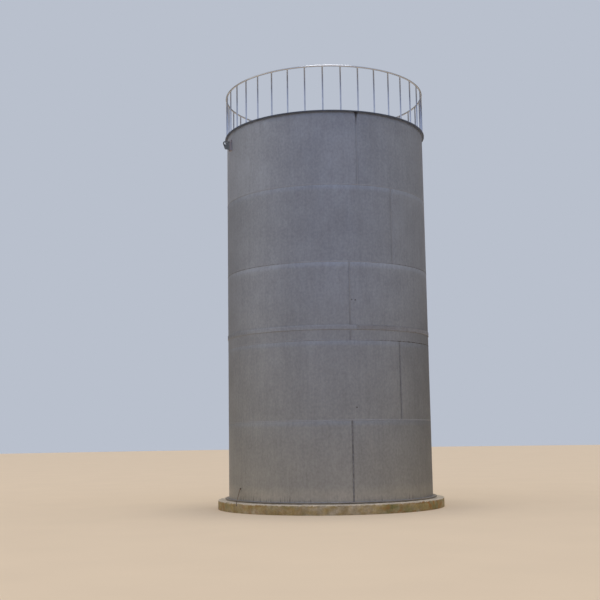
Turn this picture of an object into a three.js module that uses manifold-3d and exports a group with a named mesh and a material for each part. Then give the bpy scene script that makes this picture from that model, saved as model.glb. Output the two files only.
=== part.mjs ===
// Vertical storage tank: a welded stainless steel shell of five plate courses on a round
// concrete plinth, with a low cone roof, a guardrail round the roof edge and a rear ladder.
// Millimetres, +Z up. The origin is on the tank's axis, at ground level under the plinth.
// An azimuth is in degrees, from the front (-Y) towards +X. The ladder is at 180.

import * as THREE from 'three';
import { mergeVertices } from 'three/addons/utils/BufferGeometryUtils.js';
import Module from 'manifold-3d';

const wasm = await Module();
wasm.setup();

// Round wall: two plates, each about 6.5 m long and 1.5 m wide, go round in each course
const shellRadius = 2070;
const shellThickness = 6;
const courseHeight = 1500;
const topCourseHeight = 1445;
const seamAzimuths = [7.5, 37.5, 7.5, 33.75, 13.125];
const platesPerCourse = 2;

// All round pieces have the same facets, so that they lie flat on each other
const facets = 96;
const facetAngle = 360 / facets;
const pipeSides = 8;
const postSides = 6;
const seat = 0.3;

// Foundation
const plinthRadius = 2290;
const plinthHeight = 180;
const plinthChamfer = 15;
const bedOverhang = 45;
const bedHeight = 22;
const bottomPlateOverhang = 75;
const bottomPlateThickness = 12;

// Stiffening band on the third course
const bandAboveJoint = 200;
const bandHeight = 80;
const bandThickness = 8;
const bandSpliceAzimuth = 3 * facetAngle;

// Flat edge ring on the top of the wall, standing out like a kerb
const edgeRingInnerRadius = shellRadius - 40;
const edgeRingOverhang = 45;
const edgeRingThickness = 12;
const edgeRingSpliceAzimuth = 24 * facetAngle;

// Cone roof
const roofRadius = shellRadius - 8;
const roofRise = 200;
const roofThickness = 6;
const roofPlates = 6;
const roofEyeRadius = 150;
const crownRadius = 300;

// Manhole on the roof
const manholeAzimuth = 150;
const manholeDistance = 1350;
const manholeRadius = 254;
const manholeWall = 6;
const manholeHeight = 150;
const manholeCoverRadius = 285;
const manholeCoverThickness = 8;
const handleSpan = 140;
const handleHeight = 45;
const handleBar = 12;

// Gooseneck vent on the roof
const ventAzimuth = 210;
const ventDistance = 1400;
const ventRadius = 57;
const ventRiser = 220;
const ventBend = 95;
const ventDrop = 50;
const ventSides = 12;
const ventSteps = 24;
const ventFlangeRadius = 105;
const ventFlangeThickness = 12;

// Guardrail: 36 posts, 350 mm apart along the edge, with a gap at the ladder
const railHeight = 898;
const railRadius = 17;
const railCircle = shellRadius + 8;
const postRadius = 13.5;
const postCount = 36;
const postSpacing = 9.634;
const railSections = 6;
const railStepsPerPost = 2;
const railOverhang = 20;

// Ladder
const ladderHalfWidth = shellRadius * Math.sin(THREE.MathUtils.degToRad(1.5 * facetAngle));
const ladderStandoff = 160;
const ladderDistance = shellRadius + ladderStandoff;
const stringerRadius = 17;
const rungRadius = 11;
const rungCount = 25;
const lowerRungs = 12;
const ladderFootSize = 60;
const ladderFootThickness = 8;
const ladderFootDistance = ladderDistance - 5;
const bracketHeights = [900, 2900, 4900, 6900];
const bracketBar = 8;
const bracketReach = 60;
const bracketHeight = 50;
const bracketPadWidth = 70;
const bracketPadHeight = 90;
const bracketTieDistance = shellRadius + 50;
const handrailBend = 110;
const handrailSteps = 10;

// Lifting lugs near the top of the wall
const lugAzimuths = [-19.5 * facetAngle, 28.5 * facetAngle];
const lugThickness = 12;
const lugEyeOut = 122;
const lugEyeBelowTop = 233;
const lugHeadRadius = 48;
const lugEyeRadius = 22.5;
const lugFootOut = 128;
const lugFootDrop = 126;
const lugPadWidth = 120;
const lugPadThickness = 8;
const lugPadMargin = 22;
const lugHeadStart = -0.34;
const lugHeadSteps = 8;
const lugEyeSteps = 16;

// Earth strap at the foot of the wall, leaning sideways on its way down
const strapBossAzimuth = -16.5 * facetAngle;
const strapFootAzimuth = -15 * facetAngle;
const strapTop = 436;
const strapWidth = 25;
const strapThickness = 4;
const strapBossSize = 32;
const strapBossThickness = 12;
const strapDropBelowEdge = 48;

// Heights worked out from the sizes above
const bedTop = plinthHeight + bedHeight;
const wallFoot = bedTop + bottomPlateThickness;
const wallTop = wallFoot + (seamAzimuths.length - 1) * courseHeight + topCourseHeight;
const edgeTop = wallTop + edgeRingThickness;
const railAxis = edgeTop + railHeight;
const roofSlope = roofRise / roofRadius;
const roofEdgeTop = edgeTop + seat + roofThickness;
const far = 4000;

const stainless = { color: 0x8d9093, roughness: 0.45, metalness: 0.75 };
const brightPipe = { color: 0xb4b7b9, roughness: 0.35, metalness: 0.8 };
const darkSteel = { color: 0x34312f, roughness: 0.7, metalness: 0.3 };
const concrete = { color: 0x8b8470, roughness: 0.9, metalness: 0 };
const bitumen = { color: 0x2b2926, roughness: 0.9, metalness: 0 };
const strapMetal = { color: 0x3c3a36, roughness: 0.6, metalness: 0.4 };

const radians = THREE.MathUtils.degToRad;

const tank = new THREE.Group();

function place(name, geometry, finish) {
  const mesh = new THREE.Mesh(geometry, new THREE.MeshStandardMaterial(finish));
  mesh.name = name;
  tank.add(mesh);
}

function onCircle(radius, azimuth, z = 0) {
  const angle = radians(azimuth);
  return new THREE.Vector3(radius * Math.sin(angle), -radius * Math.cos(angle), z);
}

// Booleans
function solid(geometry) {
  const bare = geometry.clone();
  bare.deleteAttribute('normal');
  bare.deleteAttribute('uv');
  const merged = mergeVertices(bare, 1e-3);
  const mesh = new wasm.Mesh({
    numProp: 3,
    vertProperties: new Float32Array(merged.attributes.position.array),
    triVerts: new Uint32Array(merged.index.array),
  });
  return new wasm.Manifold(mesh);
}

function geometryOf(body) {
  const mesh = body.getMesh();
  const geometry = new THREE.BufferGeometry();
  geometry.setAttribute('position', new THREE.BufferAttribute(new Float32Array(mesh.vertProperties), 3));
  geometry.setIndex(new THREE.BufferAttribute(new Uint32Array(mesh.triVerts), 1));
  return geometry;
}

function join(bodies) {
  return bodies.reduce((whole, body) => whole.add(body));
}

// Basic shapes
function disc(radius, bottom, top, sides = facets) {
  const geometry = new THREE.CylinderGeometry(radius, radius, top - bottom, sides);
  geometry.rotateX(Math.PI / 2);
  geometry.translate(0, 0, (top + bottom) / 2);
  return geometry;
}

function box(width, depth, height, x, y, z) {
  const geometry = new THREE.BoxGeometry(width, depth, height);
  geometry.translate(x, y, z);
  return geometry;
}

// A profile of [radius, height] points turned about the tank's axis
function turned(profile, sides = facets) {
  const points = profile.map(([radius, height]) => new THREE.Vector2(radius, height));
  const geometry = new THREE.LatheGeometry(points, sides);
  geometry.rotateX(Math.PI / 2);
  return geometry;
}

function ring(inner, outer, bottom, top) {
  return turned([[inner, bottom], [outer, bottom], [outer, top], [inner, top], [inner, bottom]]);
}

// A slice from the axis outwards, whose sides keep half a seat off the radii they stand for
function wedge(from, to) {
  const middle = (from + to) / 2;
  const half = radians((to - from) / 2);
  const apex = onCircle(seat / 2 / Math.sin(half), middle);
  const outline = [
    apex.clone().add(onCircle(far, from)),
    apex.clone().add(onCircle(2 * far, middle)),
    apex.clone().add(onCircle(far, to)),
  ];
  if (to - from < 180) {
    outline.push(apex);
  }
  const shape = new THREE.Shape(outline.map((point) => new THREE.Vector2(point.x, point.y)));
  const geometry = new THREE.ExtrudeGeometry(shape, { depth: 3 * far, bevelEnabled: false });
  geometry.translate(0, 0, -far);
  return geometry;
}

function slice(body, from, to) {
  return geometryOf(body.intersect(solid(wedge(from, to))));
}

function pipe(start, end, radius, sides = postSides) {
  const along = end.clone().sub(start);
  const geometry = new THREE.CylinderGeometry(radius, radius, along.length(), sides);
  geometry.translate(0, along.length() / 2, 0);
  const turn = new THREE.Quaternion();
  turn.setFromUnitVectors(new THREE.Vector3(0, 1, 0), along.clone().normalize());
  geometry.applyQuaternion(turn);
  geometry.translate(start.x, start.y, start.z);
  return geometry;
}

function bentPipe(curve, radius, steps, sides = pipeSides) {
  const section = new THREE.Shape();
  section.absarc(0, 0, radius, 0, 2 * Math.PI);
  return new THREE.ExtrudeGeometry(section, {
    steps,
    curveSegments: sides / 2,
    bevelEnabled: false,
    extrudePath: curve,
  });
}

// Turns a shape drawn in the XZ plane at azimuth 90 (radius along +X) to another azimuth
function toAzimuth(geometry, azimuth) {
  geometry.rotateZ(radians(azimuth - 90));
  return geometry;
}

// Foundation
function plinth() {
  const shoulder = plinthHeight - plinthChamfer;
  return turned([
    [0, 0],
    [plinthRadius, 0],
    [plinthRadius, shoulder],
    [plinthRadius - plinthChamfer, plinthHeight],
    [0, plinthHeight],
  ]);
}

place('concrete_plinth', plinth(), concrete);
place('bitumen_bed', disc(shellRadius + bedOverhang, plinthHeight, bedTop, facets / 2), bitumen);
place('bottom_plate', disc(shellRadius + bottomPlateOverhang, bedTop, wallFoot), stainless);

// Wall
function wallCourses() {
  let bottom = wallFoot;
  seamAzimuths.forEach((seam, course) => {
    const height = course < seamAzimuths.length - 1 ? courseHeight : topCourseHeight;
    const whole = solid(ring(shellRadius - shellThickness, shellRadius, bottom, bottom + height));
    for (let plate = 0; plate < platesPerCourse; plate += 1) {
      const span = 360 / platesPerCourse;
      const from = seam + plate * span;
      place(`wall_course_${course + 1}_plate_${plate + 1}`, slice(whole, from, from + span), stainless);
    }
    bottom += height;
  });
}

// Two half rings: one from the splice round to the far side, and the one before it
function halves(names, whole, splice, finish) {
  place(names[0], slice(whole, splice - 180, splice), finish);
  place(names[1], slice(whole, splice, splice + 180), finish);
}

function stiffeningBand() {
  const bottom = wallFoot + 2 * courseHeight + bandAboveJoint;
  const inner = shellRadius + seat;
  const whole = solid(ring(inner, inner + bandThickness, bottom, bottom + bandHeight));
  halves(['band_left', 'band_right'], whole, bandSpliceAzimuth, stainless);
}

function edgeRing() {
  const whole = solid(ring(edgeRingInnerRadius, shellRadius + edgeRingOverhang, wallTop, edgeTop));
  halves(['edge_ring_front', 'edge_ring_rear'], whole, edgeRingSpliceAzimuth, darkSteel);
}

wallCourses();
stiffeningBand();
edgeRing();

// Roof
function roofHeight(radius) {
  return roofEdgeTop + roofSlope * (roofRadius - radius);
}

// Everything below the roof's top face, raised by a seat
function belowRoof() {
  return solid(turned([
    [0, edgeTop - far],
    [roofRadius, edgeTop - far],
    [roofRadius, roofEdgeTop + seat],
    [0, roofHeight(0) + seat],
  ]));
}

function roof() {
  const whole = solid(turned([
    [roofEyeRadius, roofHeight(roofEyeRadius) - roofThickness],
    [roofRadius, roofEdgeTop - roofThickness],
    [roofRadius, roofEdgeTop],
    [roofEyeRadius, roofHeight(roofEyeRadius)],
    [roofEyeRadius, roofHeight(roofEyeRadius) - roofThickness],
  ]));
  const centre = onCircle(manholeDistance, manholeAzimuth);
  const hole = disc(manholeRadius - manholeWall, wallTop, wallTop + far, facets / 4);
  hole.translate(centre.x, centre.y, 0);
  const cut = whole.subtract(solid(hole));
  const span = 360 / roofPlates;
  for (let plate = 0; plate < roofPlates; plate += 1) {
    place(`roof_plate_${plate + 1}`, slice(cut, plate * span, (plate + 1) * span), stainless);
  }
}

function roofCrown() {
  return turned([
    [0, roofHeight(0) + seat],
    [crownRadius, roofHeight(crownRadius) + seat],
    [crownRadius, roofHeight(crownRadius) + seat + roofThickness],
    [0, roofHeight(0) + seat + roofThickness],
  ]);
}

roof();
place('roof_crown', roofCrown(), stainless);

// Manhole
const manholeTop = roofHeight(manholeDistance) + manholeHeight;

function manholeNeck() {
  const inner = manholeRadius - manholeWall;
  const bottom = wallTop;
  const outside = solid(disc(manholeRadius, bottom, manholeTop, facets / 4));
  const inside = solid(disc(inner, bottom - far, manholeTop + far, facets / 4));
  const centre = onCircle(manholeDistance, manholeAzimuth);
  const tube = outside.subtract(inside).translate([centre.x, centre.y, 0]);
  return geometryOf(tube.subtract(belowRoof()));
}

function manholeCover() {
  const centre = onCircle(manholeDistance, manholeAzimuth);
  const top = manholeTop + manholeCoverThickness;
  const crossbar = top + handleHeight - handleBar / 2;
  const parts = [
    disc(manholeCoverRadius, manholeTop, top, facets / 4),
    box(handleBar, handleBar, handleHeight, -handleSpan / 2, 0, top + handleHeight / 2),
    box(handleBar, handleBar, handleHeight, handleSpan / 2, 0, top + handleHeight / 2),
    box(handleSpan, handleBar, handleBar, 0, 0, crossbar),
  ];
  return geometryOf(join(parts.map(solid)).translate([centre.x, centre.y, 0]));
}

place('manhole_neck', manholeNeck(), stainless);
place('manhole_cover', manholeCover(), stainless);

// Vent: up, over in a half turn towards the roof edge, and down
class Gooseneck extends THREE.Curve {
  constructor(foot) {
    super();
    this.foot = foot;
  }

  getPoint(t, target = new THREE.Vector3()) {
    const arc = Math.PI * ventBend;
    const run = t * (ventRiser + arc + ventDrop);
    const { x, y, z } = this.foot;
    if (run < ventRiser) {
      return target.set(x, y, z + run);
    }
    if (run < ventRiser + arc) {
      const turn = (run - ventRiser) / ventBend;
      const out = ventBend * (1 - Math.cos(turn));
      return target.set(x + out, y, z + ventRiser + ventBend * Math.sin(turn));
    }
    const drop = run - ventRiser - arc;
    return target.set(x + 2 * ventBend, y, z + ventRiser - drop);
  }
}

function vent() {
  const foot = new THREE.Vector3(ventDistance, 0, roofHeight(ventDistance));
  const flangeTop = foot.z + ventFlangeThickness;
  const flange = disc(ventFlangeRadius, wallTop, flangeTop, ventSides * 2);
  flange.translate(foot.x, foot.y, 0);
  const neck = solid(bentPipe(new Gooseneck(foot), ventRadius, ventSteps, ventSides));
  const whole = neck.add(solid(flange)).rotate([0, 0, ventAzimuth - 90]);
  return geometryOf(whole.subtract(belowRoof()));
}

place('roof_vent', vent(), stainless);

// Guardrail
class RailArc extends THREE.Curve {
  constructor(from, to, height) {
    super();
    this.from = from;
    this.to = to;
    this.height = height;
  }

  getPoint(t, target = new THREE.Vector3()) {
    return target.copy(onCircle(railCircle, this.from + (this.to - this.from) * t, this.height));
  }
}

function postAzimuth(index) {
  return 180 + (360 - (postCount - 1) * postSpacing) / 2 + index * postSpacing;
}

function degreesAlongRail(length) {
  return THREE.MathUtils.radToDeg(length / railCircle);
}

function railSection(section) {
  const perSection = postCount / railSections;
  const first = section * perSection;
  const last = section < railSections - 1 ? first + perSection : postCount - 1;
  const joint = degreesAlongRail(seat);
  const overhang = degreesAlongRail(railOverhang);
  const tail = section < railSections - 1 ? -postSpacing / 2 - joint : overhang;
  const head = section > 0 ? -postSpacing / 2 : -overhang;
  const from = postAzimuth(first) + head;
  const to = postAzimuth(last) + tail;
  const steps = (last - first) * railStepsPerPost;
  const parts = [bentPipe(new RailArc(from, to, railAxis), railRadius, steps)];
  for (let index = first; index < first + perSection; index += 1) {
    const foot = onCircle(railCircle, postAzimuth(index), edgeTop);
    const head = onCircle(railCircle, postAzimuth(index), railAxis);
    parts.push(pipe(foot, head, postRadius));
  }
  return geometryOf(join(parts.map(solid)));
}

for (let section = 0; section < railSections; section += 1) {
  place(`guardrail_${section + 1}`, railSection(section), brightPipe);
}

// Ladder
const rungPitch = (edgeTop - plinthHeight) / rungCount;
const ladderSplit = plinthHeight + (lowerRungs + 0.5) * rungPitch;
const stringerTop = edgeTop + rungPitch / 2;

function ladderLength(bottom, top, firstRung, lastRung) {
  const parts = [];
  for (const side of [-1, 1]) {
    const x = side * ladderHalfWidth;
    const foot = new THREE.Vector3(x, ladderDistance, bottom);
    parts.push(pipe(foot, new THREE.Vector3(x, ladderDistance, top), stringerRadius, pipeSides));
  }
  for (let rung = firstRung; rung <= lastRung; rung += 1) {
    const z = plinthHeight + rung * rungPitch;
    const left = new THREE.Vector3(-ladderHalfWidth, ladderDistance, z);
    parts.push(pipe(left, new THREE.Vector3(ladderHalfWidth, ladderDistance, z), rungRadius));
  }
  return parts;
}

function ladderLower() {
  const parts = ladderLength(plinthHeight, ladderSplit, 1, lowerRungs);
  const middle = plinthHeight + ladderFootThickness / 2;
  for (const side of [-1, 1]) {
    const x = side * ladderHalfWidth;
    parts.push(box(ladderFootSize, ladderFootSize, ladderFootThickness, x, ladderFootDistance, middle));
  }
  return geometryOf(join(parts.map(solid)));
}

function ladderUpper() {
  return geometryOf(join(ladderLength(ladderSplit, stringerTop, lowerRungs + 1, rungCount).map(solid)));
}

// The stringer goes on above the roof and bends over to the end of the guardrail
function handrail(side) {
  const endPost = side > 0 ? postAzimuth(postCount - 1) : postAzimuth(0);
  const endAzimuth = endPost + side * degreesAlongRail(railOverhang);
  const start = new THREE.Vector3(side * ladderHalfWidth, ladderDistance, stringerTop + seat);
  const corner = start.clone().setZ(railAxis);
  const end = onCircle(railCircle, endAzimuth, railAxis);
  const level = end.clone().sub(corner).normalize();
  const reach = end.clone().addScaledVector(level, railOverhang);
  const bendStart = corner.clone().setZ(railAxis - handrailBend);
  const bendEnd = corner.clone().addScaledVector(level, handrailBend);
  const bend = new THREE.QuadraticBezierCurve3(bendStart, corner, bendEnd);
  const parts = [
    pipe(start, bendStart.clone().setZ(bendStart.z + 1), stringerRadius, pipeSides),
    bentPipe(bend, stringerRadius, handrailSteps),
    pipe(bendEnd.clone().addScaledVector(level, -1), reach, stringerRadius, pipeSides),
  ];
  const railSide = box(far, far, far, -far / 2, 0, 0);
  railSide.rotateZ(radians(endAzimuth) + (side > 0 ? 0 : Math.PI));
  const face = onCircle(railCircle, endAzimuth, railAxis);
  const along = new THREE.Vector3(Math.cos(radians(endAzimuth)), Math.sin(radians(endAzimuth)), 0);
  face.addScaledVector(along, side * seat);
  railSide.translate(face.x, face.y, face.z);
  return geometryOf(join(parts.map(solid)).subtract(solid(railSide)));
}

function ladderBracket(height) {
  const parts = [
    box(2 * ladderHalfWidth, bracketBar, bracketHeight, 0, bracketTieDistance, height),
  ];
  for (const side of [-1, 1]) {
    const x = side * ladderHalfWidth;
    const depth = ladderStandoff + bracketReach;
    parts.push(box(bracketBar, depth, bracketHeight, x, ladderDistance - depth / 2, height));
    const azimuth = 180 - side * 1.5 * facetAngle;
    const pad = box(2 * bracketBar, bracketPadWidth, bracketPadHeight, shellRadius, 0, height);
    parts.push(toAzimuth(pad, azimuth));
  }
  const wall = solid(disc(shellRadius + seat, height - bracketPadHeight, height + bracketPadHeight));
  let body = join(parts.map(solid)).subtract(wall);
  for (const side of [-1, 1]) {
    const x = side * ladderHalfWidth;
    const low = new THREE.Vector3(x, ladderDistance, height - bracketHeight);
    const high = new THREE.Vector3(x, ladderDistance, height + bracketHeight);
    body = body.subtract(solid(pipe(low, high, stringerRadius + seat, pipeSides)));
  }
  return geometryOf(body);
}

place('ladder_lower', ladderLower(), brightPipe);
place('ladder_upper', ladderUpper(), brightPipe);
place('ladder_handrail_left', handrail(-1), brightPipe);
place('ladder_handrail_right', handrail(1), brightPipe);
bracketHeights.forEach((height, index) => {
  place(`ladder_bracket_${index + 1}`, ladderBracket(height), stainless);
});

// Lifting lugs: a plate with an eye, edge on to the wall, on a flat pad
const facetDistance = shellRadius * Math.cos(radians(facetAngle / 2));

function lug() {
  const wallFace = facetDistance + seat;
  const eyeHeight = edgeTop - lugEyeBelowTop;
  const foot = eyeHeight - lugFootDrop;
  const outline = new THREE.Shape();
  outline.moveTo(wallFace, foot);
  outline.lineTo(shellRadius + lugFootOut, foot);
  for (let step = 0; step <= lugHeadSteps; step += 1) {
    const angle = lugHeadStart + ((Math.PI / 2 - lugHeadStart) * step) / lugHeadSteps;
    const x = shellRadius + lugEyeOut + lugHeadRadius * Math.cos(angle);
    outline.lineTo(x, eyeHeight + lugHeadRadius * Math.sin(angle));
  }
  outline.lineTo(wallFace, eyeHeight + lugHeadRadius);
  const eye = new THREE.Path();
  eye.absarc(shellRadius + lugEyeOut, eyeHeight, lugEyeRadius, 0, 2 * Math.PI);
  outline.holes.push(eye);
  const plate = new THREE.ExtrudeGeometry(outline, {
    depth: lugThickness,
    curveSegments: lugEyeSteps / 2,
    bevelEnabled: false,
  });
  plate.translate(0, 0, -lugThickness / 2);
  plate.rotateX(Math.PI / 2);
  const top = eyeHeight + lugHeadRadius + lugPadMargin;
  const bottom = foot - lugPadMargin;
  const middle = (top + bottom) / 2;
  const pad = box(lugPadThickness, lugPadWidth, top - bottom, wallFace + lugPadThickness / 2, 0, middle);
  return geometryOf(solid(plate).add(solid(pad)));
}

lugAzimuths.forEach((azimuth, index) => {
  place(`lifting_lug_${index + 1}`, toAzimuth(lug(), azimuth), stainless);
});

// Earth strap: from a boss on the wall out to the plinth's edge and down its side
function flatBar(start, end) {
  const along = end.clone().sub(start);
  const length = along.length();
  along.normalize();
  const across = new THREE.Vector3(0, 0, 1).cross(along).normalize();
  const face = along.clone().cross(across);
  const geometry = new THREE.BoxGeometry(length, strapWidth, strapThickness);
  geometry.applyMatrix4(new THREE.Matrix4().makeBasis(along, across, face));
  const middle = start.clone().add(end).divideScalar(2);
  geometry.translate(middle.x, middle.y, middle.z);
  return geometry;
}

function earthStrap() {
  const wallFace = facetDistance + seat;
  const bossMiddle = wallFace + strapBossThickness / 2;
  const boss = box(strapBossThickness, strapBossSize, strapBossSize, bossMiddle, 0, strapTop);
  const dropMiddle = plinthRadius + seat + strapThickness / 2;
  const dropTop = plinthHeight + strapThickness;
  const dropBottom = plinthHeight - strapDropBelowEdge;
  const dropHeight = dropTop - dropBottom;
  const dropCentre = (dropTop + dropBottom) / 2;
  const drop = box(strapThickness, strapWidth, dropHeight, dropMiddle, 0, dropCentre);
  const upper = onCircle(wallFace + strapBossThickness, strapBossAzimuth, strapTop);
  const lower = onCircle(dropMiddle, strapFootAzimuth, plinthHeight + strapThickness / 2);
  return geometryOf(join([
    toAzimuth(boss, strapBossAzimuth),
    flatBar(upper, lower),
    toAzimuth(drop, strapFootAzimuth),
  ].map(solid)));
}

place('earth_strap', earthStrap(), strapMetal);

export default tank;
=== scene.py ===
"""Vertical storage tank of welded stainless plate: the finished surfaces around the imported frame.

Metres, +Z up, origin on the tank's axis at ground level. An azimuth is in degrees, from the
front (-Y) towards +X, and the ladder is at 180. Most pieces are drawn at azimuth 0 and turned
to their place.
"""

from contextlib import contextmanager
from math import atan2, ceil, cos, degrees, pi, radians, sin

import bmesh
import bpy
from bpy.props import FloatProperty, FloatVectorProperty, PointerProperty
from mathutils import Matrix, Vector


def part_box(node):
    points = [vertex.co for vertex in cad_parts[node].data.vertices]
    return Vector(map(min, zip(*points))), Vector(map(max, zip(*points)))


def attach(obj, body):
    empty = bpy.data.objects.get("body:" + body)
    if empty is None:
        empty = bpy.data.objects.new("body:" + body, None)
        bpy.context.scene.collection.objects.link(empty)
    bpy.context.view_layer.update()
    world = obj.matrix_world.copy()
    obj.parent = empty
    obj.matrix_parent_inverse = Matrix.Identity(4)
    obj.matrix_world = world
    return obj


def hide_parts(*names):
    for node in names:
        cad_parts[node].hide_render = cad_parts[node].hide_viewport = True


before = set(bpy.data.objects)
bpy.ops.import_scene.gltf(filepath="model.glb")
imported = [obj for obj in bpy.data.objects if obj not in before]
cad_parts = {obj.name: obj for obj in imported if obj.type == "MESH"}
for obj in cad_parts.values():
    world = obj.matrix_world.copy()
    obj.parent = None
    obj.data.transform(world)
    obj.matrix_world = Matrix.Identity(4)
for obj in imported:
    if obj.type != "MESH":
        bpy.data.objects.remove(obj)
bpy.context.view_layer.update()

bl_info = {
    "name": "Vertical Storage Tank",
    "version": (1, 0, 0),
    "blender": (4, 5, 0),
    "location": "View3D > Sidebar > Tank",
    "description": "Builds the finished surfaces of a welded stainless storage tank",
    "category": "Add Mesh",
}

MM = 0.001


def linear(code):
    """An sRGB hex colour as linear RGBA."""
    channels = [int(code[place:place + 2], 16) / 255 for place in (1, 3, 5)]
    return (*(c / 12.92 if c <= 0.04045 else ((c + 0.055) / 1.055) ** 2.4 for c in channels), 1.0)


def lowest(node):
    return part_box(node)[0]


def highest(node):
    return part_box(node)[1]


# Places that come from the frame, and the azimuths of its seams
COURSES = 5
SEAM_AZIMUTHS = (7.5, 37.5, 7.5, 33.75, 13.125)
SHELL_RADIUS = highest("wall_course_1_plate_1").x
PLINTH_RADIUS = highest("concrete_plinth").x
PLINTH_TOP = highest("concrete_plinth").z
BED_RADIUS = highest("bitumen_bed").x
BED_TOP = highest("bitumen_bed").z
FLOOR_PLATE_RADIUS = highest("bottom_plate").x
WALL_FOOT = highest("bottom_plate").z
WALL_TOP = highest("wall_course_5_plate_1").z
EDGE_TOP = highest("edge_ring_front").z
EDGE_RADIUS = highest("edge_ring_front").x
BAND_LOW = lowest("band_right").z
BAND_HIGH = highest("band_right").z
BAND_RADIUS = highest("band_right").x
BAND_SPLICE = 11.25
RAIL_ABOVE_FEET = 898 * MM
RAIL_RADIUS = highest("guardrail_1").z - lowest("guardrail_1").z - RAIL_ABOVE_FEET
RAIL_HEIGHT = highest("guardrail_1").z - RAIL_RADIUS

# Roof
ROOF_RADIUS = SHELL_RADIUS - 8 * MM
ROOF_EDGE = lowest("roof_plate_1").z + 6 * MM
ROOF_EYE = 150 * MM
ROOF_RISE = 200 * MM
ROOF_PLATES = 6
CROWN_RADIUS = highest("roof_crown").x
MANHOLE_AZIMUTH = 150
MANHOLE_DISTANCE = 1350 * MM
MANHOLE_RADIUS = 254 * MM
MANHOLE_WALL = 6 * MM
MANHOLE_TOP = lowest("manhole_cover").z
LID_RADIUS = 285 * MM
LID_THICKNESS = 8 * MM
VENT_AZIMUTH = 210
VENT_DISTANCE = 1400 * MM
VENT_RADIUS = 57 * MM
VENT_RISER = 220 * MM
VENT_BEND = 95 * MM
VENT_DROP = 50 * MM
VENT_FLANGE_RADIUS = 105 * MM
VENT_FLANGE_THICKNESS = 12 * MM

# Guardrail and ladder
RAIL_CIRCLE = SHELL_RADIUS + 8 * MM
POST_COUNT = 36
POST_SPACING = 9.634
RAIL_SECTIONS = 6
RAIL_OVERHANG = 20 * MM
COLLAR_RISE = 1.2 * MM
LADDER_DISTANCE = SHELL_RADIUS + 160 * MM
LADDER_HALF_WIDTH = highest("ladder_upper").x - 17 * MM
RUNG_COUNT = 25
LOWER_RUNGS = 12
BRACKET_HEIGHTS = (900 * MM, 2900 * MM, 4900 * MM, 6900 * MM)
HANDRAIL_BEND = 110 * MM
LADDER_FOOT_WIDTH = 60 * MM
LADDER_FOOT_THICKNESS = 8 * MM
LADDER_FOOT_SHIFT = 5 * MM

# Lugs and earth strap
LUG_AZIMUTHS = (-73.125, 106.875)
LUG_ROOT = SHELL_RADIUS * cos(radians(90 - 73.125))
LUG_EYE_OUT = 122 * MM
LUG_EYE_HEIGHT = EDGE_TOP - 233 * MM
LUG_EYE_RADIUS = 22.5 * MM
LUG_HEAD_RADIUS = 48 * MM
LUG_FOOT_OUT = 128 * MM
LUG_FOOT_DROP = 126 * MM
LUG_HEAD_START = -0.34
STRAP_BOSS_AZIMUTH = -61.875
STRAP_FOOT_AZIMUTH = -56.25
STRAP_TOP = 436 * MM

# Divisions of round shapes
AROUND = 192
FINE_AROUND = 384
PIPE_SIDES = 16
BAR_SIDES = 12


class TankSizes(bpy.types.PropertyGroup):
    """Sizes of the finish that a user may change."""

    plate_thickness: FloatProperty(
        name="Plate thickness", description="Thickness of the wall and roof plates",
        default=6 * MM, min=1 * MM, unit="LENGTH")
    plate_waviness: FloatProperty(
        name="Plate waviness", description="How far the rolled wall plates are out of true",
        default=2.5 * MM, min=0, unit="LENGTH")
    weld_width: FloatProperty(
        name="Weld width", description="Width of the butt welds in the wall and the roof",
        default=14 * MM, min=1 * MM, unit="LENGTH")
    weld_rise: FloatProperty(
        name="Weld rise", description="How far a butt weld stands above the plate",
        default=1.1 * MM, min=0, unit="LENGTH")
    fillet_leg: FloatProperty(
        name="Fillet leg", description="Leg of the fillet welds at the foot, band, lugs and pads",
        default=7 * MM, min=1 * MM, unit="LENGTH")
    post_diameter: FloatProperty(
        name="Post diameter", description="Outer diameter of the guardrail posts",
        default=27 * MM, min=5 * MM, unit="LENGTH")
    rung_diameter: FloatProperty(
        name="Rung diameter", description="Diameter of the ladder rungs",
        default=22 * MM, min=5 * MM, unit="LENGTH")
    bolt_size: FloatProperty(
        name="Bolt size", description="Width across the corners of the bolt heads",
        default=20 * MM, min=5 * MM, unit="LENGTH")
    chip_depth: FloatProperty(
        name="Chip depth", description="Depth of the chips in the plinth's upper edge",
        default=16 * MM, min=0, unit="LENGTH")


def colour(name, description, code):
    return FloatVectorProperty(
        name=name, description=description, subtype="COLOR", size=4, min=0, max=1, default=linear(code))


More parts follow.
